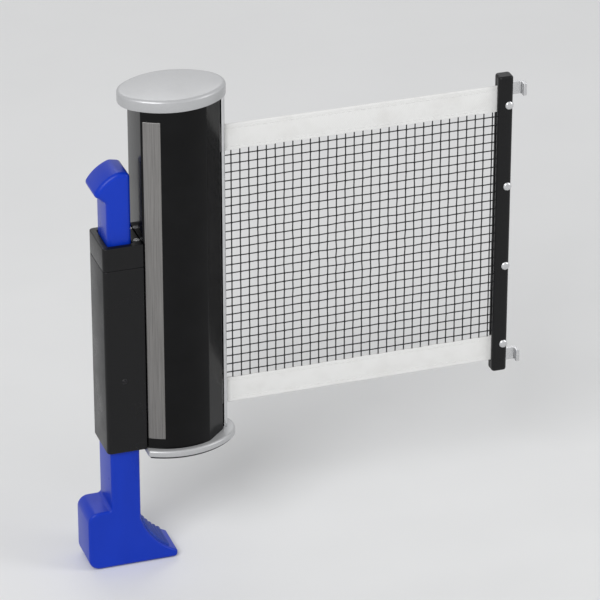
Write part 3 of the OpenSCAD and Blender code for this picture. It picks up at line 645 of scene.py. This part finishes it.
def pale_moulding():
    """Off-white bearing plastic of the roller's plugs."""
    f = Finish("pale_moulding")
    cloud = f.noise(120.0, 3.0)
    skin = f.noise(1500.0)
    return f.shine(Base_Color=f.tint(cloud, 0.3, 0.7, (0.74, 0.73, 0.70), (0.80, 0.79, 0.77)),
                   Roughness=f.range(cloud, 0.3, 0.7, 0.36, 0.46), Normal=f.bump(skin, 0.00004, 0.2))


def nylon_black():
    """Black nylon thread of the mesh, with its twist."""
    f = Finish("nylon_black")
    twist = f.noise(1.0, 2.0, where=f.stretched(3400.0, 5200.0, 3400.0))
    return f.shine(Base_Color=f.tint(twist, 0.3, 0.7, (0.006, 0.006, 0.007), (0.020, 0.020, 0.022)),
                   Roughness=f.range(twist, 0.3, 0.7, 0.45, 0.62), Specular_IOR_Level=0.35,
                   Normal=f.bump(twist, 0.00012, 0.5))


def wound_black():
    """The net where it is wound up: many layers of black thread."""
    f = Finish("wound_black")
    layers = f.noise(1.0, 3.0, where=f.stretched(900.0, 900.0, 1500.0))
    return f.shine(Base_Color=f.tint(layers, 0.3, 0.7, (0.003, 0.003, 0.0035), (0.012, 0.012, 0.013)),
                   Roughness=f.range(layers, 0.3, 0.7, 0.55, 0.75), Specular_IOR_Level=0.3,
                   Normal=f.bump(layers, 0.0005, 0.6))


def woven_white():
    """White tape in a plain weave, a little soiled."""
    f = Finish("woven_white")
    x, z = f.along("X"), f.along("Z")
    weave = (x * 7400.0).sin() * (z * 8600.0).sin()
    soil = f.noise(85.0, 4.0, roughness=0.6)
    thread = f.tint(weave, -0.8, 0.8, (0.70, 0.70, 0.69), (0.83, 0.83, 0.82))
    return f.shine(Base_Color=f.mix(f.range(soil, 0.48, 0.78, 0.0, 0.45), thread, (0.62, 0.61, 0.59)),
                   Roughness=f.range(soil, 0.3, 0.7, 0.78, 0.90), Sheen_Weight=0.15, Sheen_Roughness=0.5,
                   Normal=f.bump(weave, 0.00010, 0.45))


def sewing_white():
    """White sewing thread of the tape's two seams."""
    f = Finish("sewing_white")
    ply = f.noise(1.0, 2.0, where=f.stretched(5200.0, 3000.0, 6500.0))
    return f.shine(Base_Color=f.tint(ply, 0.3, 0.7, (0.64, 0.64, 0.63), (0.82, 0.82, 0.81)),
                   Roughness=f.range(ply, 0.3, 0.7, 0.50, 0.65), Normal=f.bump(ply, 0.00006, 0.5))


GLOSS, GRAIN, PAINT, INLAY = gloss_black(), grained_black(), silver_paint(), brushed_silver()
STEEL = bright_steel("zinc_steel", 0.22, 0.36, 1400.0)
ROD = bright_steel("polished_rod", 0.10, 0.18, 420.0)
TUBE, BLUE, GRIP, RUBBER = drawn_metal(), royal_blue(), grip_blue(), black_rubber()
OXIDE, PALE = blackened_steel(), pale_moulding()
NYLON, WOUND, TAPE, SEWING = nylon_black(), wound_black(), woven_white(), sewing_white()


# ---------- housing ----------

# From the mouth's corner back along its tapered side
TAPER = Vector((TAPER_FROM - MOUTH_END, oval_y(HOUSING_OVAL, TAPER_FROM) - MOUTH_HALF))


def housing_y(x, inset):
    """Half width of the housing at x, its sides turned in to the mouth."""
    along = TAPER.normalized()
    reach = MOUTH_END * along.y - MOUTH_HALF * along.x - inset
    return min(oval_y(HOUSING_OVAL, x, inset), (x * along.y - reach) / along.x)


def mouth_side(half):
    """Outline from the slot's edge round the mouth's corner, up the taper and on to the side."""
    corner, ease = Vector((MOUTH_END, MOUTH_HALF)), TAPER.normalized() * 0.9
    turn, side = [(x, oval_y(HOUSING_OVAL, x)) for x in (TAPER_FROM, TAPER_FROM - 0.7)]
    return rounded([(MOUTH_END, half, 0), (*corner, 0.7), (*(corner + ease), 0),
                    (*(corner + TAPER - ease), 0), (*turn, 1.5), (*side, 0)])


def shell_section(side, slot, recess):
    """Closed section of one half of the housing at one height; side is -1 in front, 1 behind."""
    half, lip = (SLOT_HALF, SLOT_LIP) if slot else (0.0, 0.0)
    depth = TRIM_DEPTH if recess else 0.0
    recess_to, recess_from = TRIM_TO + GAP, TRIM_FROM - GAP
    inner_end, inner_mouth = OUTER_END + WALL, MOUTH_END - WALL
    outer = mouth_side(half + lip)
    outer += [(x, oval_y(HOUSING_OVAL, x)) for x in np.linspace(outer[-1][0], recess_to, 20)[1:]]
    outer += [(x, oval_y(HOUSING_OVAL, x, depth)) for x in np.linspace(recess_to, recess_from, 8)]
    outer += [(recess_from, oval_y(HOUSING_OVAL, recess_from))]
    outer += [(-x, y) for x, y in reversed(cut_corner(HOUSING_OVAL, -OUTER_END, 0.5))]
    outer += [(OUTER_END, 0.0)]
    inner = [(inner_end, 0.0)]
    inner += [(x, housing_y(x, WALL)) for x in np.linspace(inner_end, inner_mouth, 26)]
    inner += [(inner_mouth, half + lip), (inner_mouth + lip, half), (MOUTH_END - lip, half)]
    return [(x, side * y) for x, y in outer + inner]


def add_floors(shape, side):
    """Plates that close the shell at both ends; each bites a little into the wall."""
    bite = 0.1
    mouth, end = MOUTH_END - WALL + bite, OUTER_END + WALL - bite
    curve = [(x, housing_y(x, WALL - 2 * bite)) for x in np.linspace(mouth, end, 24)]
    outline = [(x, side * y) for x, y in [(mouth, 0.0)] + curve + [(end, 0.0)]]
    thick, recess = 2, 0.01
    for low, high in ((FLANGE_TOP, FLANGE_TOP + thick), (HOUSING_TOP - thick, HOUSING_TOP)):
        shape.loft([[(x, y, z) for x, y in outline] for z in (low + recess, high - recess)])


def add_bosses(shape, side):
    """Screw bosses: hollow, with a seat for the screw's head, behind and solid in front."""
    parting, front, rims = 0.1, 10.5, (10.9, 13.0)
    for x, rim in zip(SCREW_X, rims):
        for z in SCREW_Z:
            if side > 0:
                bore = [(HEAD_R, rim), (HEAD_R, SCREW_SEAT), (BORE_R, SCREW_SEAT), (BORE_R, parting)]
                shape.turned([(BOSS_R, parting), (BOSS_R, rim)] + bore, (x, 0, z), "y", wrap=True)
            else:
                shape.turned([(BOSS_R, -parting), (BOSS_R, -front)], (x, 0, z), "y")


def housing_half(side):
    """Shell with its slot and the trim's recess; behind, the screws' heads lie in open wells."""
    low, high, inside, outside = TRIM_LOW - GAP, TRIM_HIGH + GAP, 12.0, 20.0
    levels = [(FLANGE_TOP, 0, 0), (low, 0, 0), (low, 0, 1), (SLOT_LOW, 0, 1), (SLOT_LOW, 1, 1),
              (SLOT_HIGH, 1, 1), (SLOT_HIGH, 0, 1), (high, 0, 1), (high, 0, 0), (HOUSING_TOP, 0, 0)]
    shape, node = Shape(), f"housing_{SIDES[side]}"
    shape.loft([[(x, y, z) for x, y in shell_section(side, slot, recess)] for z, slot, recess in levels])
    add_floors(shape, side)
    add_bosses(shape, side)
    piece = shape.show(node + "_shell", GLOSS, "post", "black_gloss", [node])
    if side > 0:
        for z in SCREW_Z:
            cut(piece, Shape().turned([(HEAD_R, inside), (HEAD_R, outside)], (SCREW_X[1], 0, z), "y"))


def trim_strip(side):
    """Silver inlay that follows the housing's curve, its corners eased."""
    proud, depth, corner, edge = 0.2, 0.8, 0.22, 0.2
    face = [(x, oval_y(HOUSING_OVAL, x, -proud), 0) for x in np.linspace(TRIM_TO, TRIM_FROM, 14)]
    back = [(x, oval_y(HOUSING_OVAL, x, depth), 0) for x in np.linspace(TRIM_FROM, TRIM_TO, 14)]
    face[0], face[-1] = (*face[0][:2], corner), (*face[-1][:2], corner)
    outline = rounded(face + back, 3)
    if side < 0:
        outline = [(x, -y) for x, y in reversed(outline)]
    node = f"trim_strip_{SIDES[side]}"
    Shape().slab(outline, TRIM_LOW, TRIM_HIGH, edge, steps=3).show(
        node + "_inlay", INLAY, "post", "silver_inlay", [node])


def cap_cover():
    """Oval cap with a rolled upper edge and a slightly crowned top."""
    oval = oval_outline(CAP_OVAL)
    roll, rise, rolled_from, crown = 1.7, 1.5, 173.1, 0.4
    rows = [(0.5, HOUSING_TOP), (0.12, HOUSING_TOP + 0.12), (0.0, HOUSING_TOP + 0.5)]
    for i in range(7):
        t = math.pi / 2 * i / 6
        rows.append((roll * (1 - math.cos(t)), rolled_from + rise * math.sin(t)))
    rings = [[(x, y, z) for x, y in drawn_in(oval, depth)] for depth, z in rows]
    rim = drawn_in(oval, roll)
    for share in (0.97, 0.85, 0.65, 0.4, 0.15, 0.0):
        z = POST_TOP - crown * share ** 2
        rings.append([(x * share, y * share, z) for x, y in rim])
    Shape().loft(rings, ends=(True, False)).show("cap_cover", PAINT, "post", "silver_plastic", ["top_cap"])


def base_flange():
    """Flange and the rubber pad under it."""
    outline = oval_outline(FLANGE_OVAL, left=OUTER_END, corner=1.2)
    Shape().slab(outline, PAD_TOP, FLANGE_TOP, 1.1, foot=0.4).show(
        "base_flange", PAINT, "post", "silver_plastic", ["base_plate"])
    Shape().slab(drawn_in(outline, 1.0), 0.0, PAD_TOP, 0.15, foot=0.35).show(
        "base_pad_sheet", RUBBER, "post", "rubber", ["base_pad"])


def mouth_rod(side):
    """Thin bright rod beside the net."""
    node = f"mouth_rod_{SIDES[side]}"
    Shape().turned([(ROD_R, ROD_LOW), (ROD_R, ROD_HIGH)], (ROD_X, ROD_Y * side, 0), steps=28).show(
        node + "_bar", ROD, "post", "steel", [node])


# ---------- sleeve and slider ----------

def clamp_sleeve():
    """Sleeve on the housing's outer end and the collar on top of it."""
    outer = block_outline(GUIDE_OUT, OUTER_END, GUIDE_HALF, 2.0, 0.5)
    bore = block_outline(STEM_OUT - GAP, STEM_IN + GAP, STEM_HALF + GAP, 0.4, 0.4)
    Shape().pipe(outer, bore, FLANGE_TOP, GUIDE_TOP, 0.45, 0.35).show(
        "clamp_sleeve", GRAIN, "post", "black_matte", ["clamp_guide"])
    mouth = block_outline(BAR_OUT - GAP, BAR_IN + GAP, BAR_HALF + GAP, 0.9, 0.9)
    collar = Shape().pipe(outer, mouth, GUIDE_TOP, COLLAR_TOP, 0.45, 0.4).show(
        "sleeve_collar", GRAIN, "post", "black_matte", ["guide_collar"])
    well = [(COLLAR_SCREW_R, COLLAR_TOP - 1.0), (COLLAR_SCREW_R, COLLAR_TOP + 1.0)]
    for side in SIDES:
        cut(collar, Shape().turned(well, (COLLAR_SCREW_X, COLLAR_SCREW_Y * side, 0)))


def spring_pin():
    """Cross pin with rounded ends that carries the clamp spring."""
    end = [(0.0, 11.75), (0.9, 11.7), (1.35, 11.45), (1.5, 11.2)]
    Shape().turned([(r, -h) for r, h in end] + end[::-1], (SLIDER_X, 0, PIN_Z), "y", steps=28).show(
        "spring_pin_rod", OXIDE, "post", "steel", ["spring_pin"])


def clamp_coil():
    """Compression spring with closed end curls, between its two seats."""
    wire, closed, curls, steps = 0.45, 0.95, 12, 20
    low, high = SPRING_LOW + wire, SPRING_HIGH - wire
    path = []
    for i in range(curls * steps + 1):
        t = i / (curls * steps)
        rise = min(max((t - 1 / curls) / (1 - 2 / curls), 0.0), 1.0)
        ends = closed * (min(t * curls, 1.0) + max(t * curls - curls + 1, 0.0)) / 2
        z = low + ends + (high - low - closed) * rise
        a = 2 * math.pi * i / steps
        path.append((SLIDER_X + SPRING_R * math.cos(a), SPRING_R * math.sin(a), z))
    coil = Shape().thread(path, wire, 8).show("clamp_coil", STEEL, "post", "steel", ["clamp_spring"])
    coil.parent = None
    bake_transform(coil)


def jaw_boot():
    """Stem, rounded heel and hollow toe in one moulding, its edges well rounded."""
    hollow = [(x, z, 0) for x, z in arc(*TOE_HEART, TOE_R, 194.7, 243.0, 16)]
    corners = [(STEM_IN, SHOULDER, 1.4), (STEM_OUT, SHOULDER, 1.4), (STEM_OUT, HEEL_TOP, 1.6),
               (HEEL_X, HEEL_TOP, 5.0), (HEEL_X, SOLE, 5.0), (TOE_X, SOLE, 1.6), (TOE_X, TOE_TOP, 1.45)]
    outline = anticlockwise(rounded(corners + hollow[::-1], 7))
    boot = Shape().slab(outline, -STEM_HALF, STEM_HALF, 1.2, "y", 5).show(
        "jaw_boot", BLUE, "slider", "blue_plastic", ["jaw"])
    through = 12
    slot = block_outline(SLIDER_X - PIN_SLOT_HALF, SLIDER_X + PIN_SLOT_HALF, through, 0.3, 0.3)
    cut(boot, Shape().slab(slot, PIN_SLOT_LOW, PIN_SLOT_HIGH, 0))
    well = [(SPRING_WELL_R, PIN_SLOT_LOW), (SPRING_WELL_R, FOOT_LOW + 1)]
    cut(boot, Shape().turned(well, (SLIDER_X, 0, 0)))
    socket = block_outline(SLIDER_X - FOOT_X - GAP, SLIDER_X + FOOT_X + GAP, FOOT_Y + GAP, 0.3, 0.3)
    cut(boot, Shape().slab(socket, FOOT_LOW, SHOULDER + 2, 0))


def jaw_grip():
    """Soft pad on the toe's hollow face, with cross ribs."""
    ribs, steps, start, stop, half, back = 8, 96, 199.8, 238.4, 8.0, TOE_R + 0.3
    groove_depth, end_drop, end_reach, per_degree = 0.5, 0.35, 0.4, 0.5
    rings = []
    for i in range(steps + 1):
        t = i / steps
        groove = (0.5 + 0.5 * math.cos(2 * math.pi * ribs * t)) ** 2
        to_end = min(t, 1 - t) * (stop - start) * per_degree
        face = GRIP_R + groove_depth * groove + end_drop * max(0.0, 1 - to_end / end_reach) ** 2
        a = math.radians(start + (stop - start) * t)
        c, s = math.cos(a), math.sin(a)
        section = [(-half, back), (-half, face + 0.3), (0.1 - half, face + 0.1), (0.3 - half, face)]
        section += [(-y, r) for y, r in reversed(section)]
        rings.append([(TOE_HEART[0] + r * c, y, TOE_HEART[1] + r * s) for y, r in section])
    Shape().loft(rings).show("jaw_grip_ribs", GRIP, "slider", "blue_grip", ["jaw_pad"], crease=40)


def thumb_tab():
    """Upright bar with a crowned head whose lip leans out over the thumb, and the foot in the jaw."""
    edge = arc(BAR_IN - 2.4, TAB_TOP - 2.9, 2.4, 0, 80, 7)
    crown = arc(BAR_IN - 5, TAB_TOP - 4, 4.0, 82, 110, 4)
    lip = arc(BAR_OUT - 2.8, TAB_TOP - 9, 2.2, 146, 250, 10)
    throat = arc(BAR_OUT - 3, TAB_TOP - 15.5, 3.0, 70, 0, 6)
    head = edge + crown + bow(crown[-1], lip[0], -0.95, 9) + lip + throat
    outline = anticlockwise([(BAR_IN, SHOULDER)] + head + [(BAR_OUT, SHOULDER)])
    foot = block_outline(SLIDER_X - FOOT_X, SLIDER_X + FOOT_X, FOOT_Y, 0.3, 0.3)
    shape = Shape().slab(outline, -BAR_HALF, BAR_HALF, 2.1, "y", 7)
    tab = shape.slab(foot, FOOT_LOW, SHOULDER + 1, 0.2).show(
        "thumb_tab_head", BLUE, "slider", "blue_plastic", ["thumb_tab"])
    well = [(SPRING_WELL_R, FOOT_LOW - 2), (SPRING_WELL_R, SPRING_HIGH)]
    cut(tab, Shape().turned(well, (SLIDER_X, 0, 0)))


# ---------- end bar ----------

def end_bar_section(side, groove, depth):
    """Half of the bar at one height, drawn in by depth on its outer sides."""
    parting, corner = 0.02, 1.5 - depth
    inner, outer, half = END_BAR_FROM + depth, END_BAR_TO - depth, END_BAR_HALF - depth
    groove_y = GROOVE_HALF if groove else parting
    outline = rounded([(inner, groove_y, 0.2), (GROOVE_TO, groove_y, 0), (GROOVE_TO, parting, 0),
                       (outer, parting, 0), (outer, half, corner), (inner, half, corner)], 5)
    return [(x, -y) for x, y in reversed(outline)] if side < 0 else outline


def end_bar_half(side):
    """Half of the bar, rounded at both ends, with the groove that holds the net."""
    edge, node = 1.1, f"end_bar_{SIDES[side]}"
    end = [(edge + RIM, 0.0)] + quarter(edge, 5)
    rows = [(depth, END_BAR_LOW + rise, 0) for depth, rise in end]
    rows += [(0, GROOVE_LOW, 0), (0, GROOVE_LOW, 1), (0, GROOVE_HIGH, 1), (0, GROOVE_HIGH, 0)]
    rows += [(depth, END_BAR_HIGH - rise, 0) for depth, rise in reversed(end)]
    rings = [[(x, y, z) for x, y in end_bar_section(side, groove, depth)] for depth, z, groove in rows]
    Shape().loft(rings).show(node + "_shell", GRAIN, "end_bar", "black_matte", [node])


def end_bar_rivets():
    """Domed heads of the rivets, in front and behind."""
    rivets, count, lowest, span = Shape(), 4, 24.0, 119.5
    radius, dome, seat, foot = 2.0, 0.95, 3.15, 3.0
    for i in range(count):
        spot = (RIVET_X, 0, lowest + i * span / (count - 1))
        for side in SIDES:
            turns = np.linspace(0, math.pi / 2, 7)
            head = [(radius * math.sin(t), side * (seat + dome * math.cos(t))) for t in turns]
            rivets.turned(head + [(radius, side * foot)], spot, "y", steps=24)
    rivets.show("end_bar_rivet_heads", STEEL, "end_bar", "steel", ["end_bar_rivets"])


def end_bar_hooks():
    """Bent hooks at the bar's two ends."""
    half, reach, height = 0.9, 3.9, 6
    plate = rounded([(RIVET_X, -half, 0), (HOOK_TURN, -half, 0.5), (HOOK_TURN, -reach, 0.5),
                     (HOOK_TIP, -reach, 0.5), (HOOK_TIP, half, 2.0), (RIVET_X, half, 0)], 6)
    for node, z in (("end_hook_lower", 14.0), ("end_hook_upper", 147.5)):
        Shape().slab(plate, z, z + height, 0.35).show(node + "_plate", STEEL, "end_bar", "steel", [node])


# ---------- net ----------

def on_panel(s, t, z):
    """Place at a distance s from the rods, t to the rear of the net's middle."""
    return ROD_X + s, t, z


def on_lead(s, t, z):
    """The same for the stretch between the roll and the rods."""
    c, d = math.cos(math.radians(LEAD_ANGLE)), math.sin(math.radians(LEAD_ANGLE))
    return LEAD_FROM[0] + s * c - t * d, LEAD_FROM[1] + s * d + t * c, z


def mesh_threads(where, length, columns, rows, slack, seed):
    """Square mesh of round threads with a knot at each crossing."""
    radius, knot_reach, knot_swell = 0.28, 0.55, 1.55
    margin, overlap, jitter = 0.6, 1.5, (0.16, 0.06, 0.16)
    chance = np.random.default_rng(seed)
    s = np.linspace(margin, length - margin, columns)
    z = np.linspace(NET_LOW + BAND - overlap, NET_HIGH - BAND + overlap, rows)
    shift = chance.uniform(-1, 1, (columns, rows, 3)) * jitter
    u, v = np.meshgrid(np.linspace(0, 1, columns), np.linspace(0, 1, rows), indexing="ij")
    edge = (np.sin(np.pi * u) * np.sin(np.pi * v)) ** 0.5
    knots = np.stack([s[:, None] + shift[..., 0] * edge,
                      shift[..., 1] * edge + slack * edge * np.sin(u * 5.1 + 0.6) * np.cos(v * 2.6 - 0.9),
                      z[None, :] + shift[..., 2] * edge], 2)
    shape = Shape()
    for line in [knots[i] for i in range(columns)] + [knots[:, k] for k in range(rows)]:
        path, radii = [], []
        for i, knot in enumerate(line):
            for way in (-1, 0, 1):
                if way == 0:
                    path.append(knot)
                elif 0 <= i + way < len(line):
                    ahead = line[i + way] - knot
                    path.append(knot + ahead * knot_reach / np.linalg.norm(ahead))
                else:
                    continue
                radii.append(radius if way else radius * knot_swell)
        shape.thread([where(*p) for p in path], radii, 6)
    return shape


def tape_band(shape, where, length, fold, way, phase):
    """Tape folded over the net's edge: fold is the height of the fold, way 1 if it opens upward."""
    # Section as (across, distance from the fold): the flap is drawn in at both of its seams
    flap = [(0.54, BAND), (0.60, 12.3), (0.60, 11.7), (0.50, SEAMS[1]), (0.60, 10.1), (0.62, 6.5),
            (0.60, 2.9), (0.50, SEAMS[0]), (0.60, 1.4), (0.60, 0.7)]
    bend = [(0.60 * math.cos(t), 0.62 - 0.62 * math.sin(t)) for t in np.linspace(0.3, math.pi - 0.3, 7)]
    outer = flap + bend + [(-t, h) for t, h in reversed(flap)]
    inner = [(-0.20, BAND), (-0.17, 9.0), (-0.15, 0.9), (0.15, 0.9), (0.17, 9.0), (0.20, BAND)]
    rings, steps = [], max(int(length / (STITCH / 2)), 6)
    for i in range(steps + 1):
        s = length * i / steps
        pucker = 0.035 * math.sin(2 * math.pi * s / STITCH)
        lean = 0.05 * math.sin(s * 0.11 + phase) * math.sin(math.pi * i / steps)
        ring = []
        for t, h in outer + inner:
            swell = t + (pucker if abs(t) > 0.4 else 0.0) * (1 if t > 0 else -1)
            edge = 0.10 * math.sin(s * 0.37 + phase) * (h / BAND) + 0.05 * math.sin(s * 1.3 + phase)
            ring.append(where(s, swell + lean, fold + way * (h + edge * (h / BAND))))
        rings.append(ring)
    return shape.loft(rings)


def seam_stitches(shape, where, length, fold, way):
    """Two rows of lock stitches on both faces of a band."""
    first, last = 1.2, 2.0
    arch = [(0.0, 0.40), (0.35, 0.53), (1.1, 0.57), (1.85, 0.53), (2.2, 0.40)]
    for h in SEAMS:
        for face in SIDES:
            for i in range(int((length - last) / STITCH)):
                s = first + STITCH * i
                path = [where(s + d, face * t, fold + way * h) for d, t in arch]
                shape.thread(path, [0.06, 0.15, 0.17, 0.15, 0.06], 5)
    return shape


def drawn_net():
    """Mesh, folded bands and their seams, each given a mesh of its own."""
    length = NET_END - ROD_X
    net = mesh_threads(on_panel, length, columns=33, rows=29, slack=0.18, seed=7).show(
        "net_mesh", NYLON, "post", "mesh", ["net_panel"], crease=80)
    pieces = [net]
    for name, fold, way, node in (("net_band_upper", NET_HIGH, -1, "net_top_band"),
                                  ("net_band_lower", NET_LOW, 1, "net_bottom_band")):
        band = tape_band(Shape(), on_panel, length - 0.4, fold, way, 1.0 + way)
        pieces.append(band.show(name, TAPE, "post", "band", [node], crease=50))
        seam = seam_stitches(Shape(), on_panel, length - 4.0, fold, way)
        pieces.append(seam.show(name + "_seam", SEWING, "post", "band", crease=80))
    for piece in pieces:
        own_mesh(piece)


def lead_net():
    """The same net inside the mouth, from the roll to the rods."""
    mesh_threads(on_lead, LEAD_LENGTH, columns=6, rows=29, slack=0.0, seed=11).show(
        "lead_mesh", NYLON, "post", "mesh", ["net_lead"], crease=80)
    bands, seams = Shape(), Shape()
    for fold, way in ((NET_HIGH, -1), (NET_LOW, 1)):
        tape_band(bands, on_lead, LEAD_LENGTH, fold, way, 0.4)
        seam_stitches(seams, on_lead, LEAD_LENGTH - 1.0, fold, way)
    bands.show("lead_bands", TAPE, "post", "band", ["band_lead"], crease=50)
    seams.show("lead_band_seams", SEWING, "post", "band", crease=80)


def wound_threads():
    """Core of the wound net with the threads of its outermost layer."""
    inner, outer, low, high = 5.55, 11.8, 27.0, 140.5
    core = Shape().turned([(inner, low), (outer, low), (outer, high), (inner, high)],
                          (ROLLER_X, 0, 0), steps=72)
    core.show("roll_core", WOUND, "roller", "mesh", ["net_roll"])
    threads, ring, radius, sides, columns, rows = Shape(), 11.9, 0.24, 5, 19, 28
    for z in np.linspace(NET_LOW + BAND + 2.0, NET_HIGH - BAND - 2.0, rows):
        turns = 2 * math.pi * np.arange(sides) / sides
        section = [(ring + radius * math.cos(a), radius * math.sin(a)) for a in turns]
        threads.turned(section, (ROLLER_X, 0, z), steps=48, wrap=True)
    for i in range(columns):
        a = 2 * math.pi * i / columns
        line = [(ROLLER_X + ring * math.cos(a), ring * math.sin(a), z) for z in (low + 0.2, high - 0.2)]
        threads.thread(line, radius, sides)
    threads.show("roll_threads", NYLON, "roller", "mesh", crease=80)


def wound_tape():
    """The two bands where they are wound up, their layers showing at the edges."""
    inner, layers = 5.6, [5.8 + 1.28 * i for i in range(5)]
    tape = Shape()
    for low, high in ((NET_LOW, NET_LOW + BAND), (NET_HIGH - BAND, NET_HIGH)):
        profile = [(inner, low)]
        for r in layers:
            profile += [(r, low + 0.3), (r + 0.25, low), (r + 1.0, low), (r + 1.2, low + 0.3)]
        profile += [(12.1, low), (ROLL_R, low + 0.2), (ROLL_R, low + 6), (ROLL_R, high - 0.2), (12.1, high)]
        for r in reversed(layers):
            profile += [(r + 1.2, high - 0.3), (r + 1.0, high), (r + 0.25, high), (r, high - 0.3)]
        profile += [(inner, high)]
        tape.turned(profile, (ROLLER_X, 0, 0), steps=72, wrap=True)
    tape.show("roll_tape", TAPE, "roller", "band", crease=60)


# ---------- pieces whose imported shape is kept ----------

def finish_kept_nodes():
    """Gives the scene's finishes to the nodes that no piece replaces."""
    kept = {"housing_screws": STEEL, "cap_screws": STEEL, "base_screws": STEEL, "guide_screws": STEEL,
            "collar_screws": STEEL, "tab_pins": STEEL, "roller_spindle": ROD, "spring_anchor": STEEL,
            "roller_spring": STEEL, "spring_seat": STEEL, "upper_bush": GRAIN, "lower_bush": GRAIN,
            "roller_tube": TUBE, "roller_plug_upper": PALE, "roller_plug_lower": PALE}
    for node, material in kept.items():
        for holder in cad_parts[node].material_slots:
            holder.material = material


for side in SIDES:
    housing_half(side)
    trim_strip(side)
    end_bar_half(side)
cap_cover()
base_flange()
for side in SIDES:
    mouth_rod(side)
clamp_sleeve()
spring_pin()
clamp_coil()
jaw_boot()
jaw_grip()
thumb_tab()
end_bar_rivets()
end_bar_hooks()
drawn_net()
lead_net()
wound_threads()
wound_tape()
finish_kept_nodes()
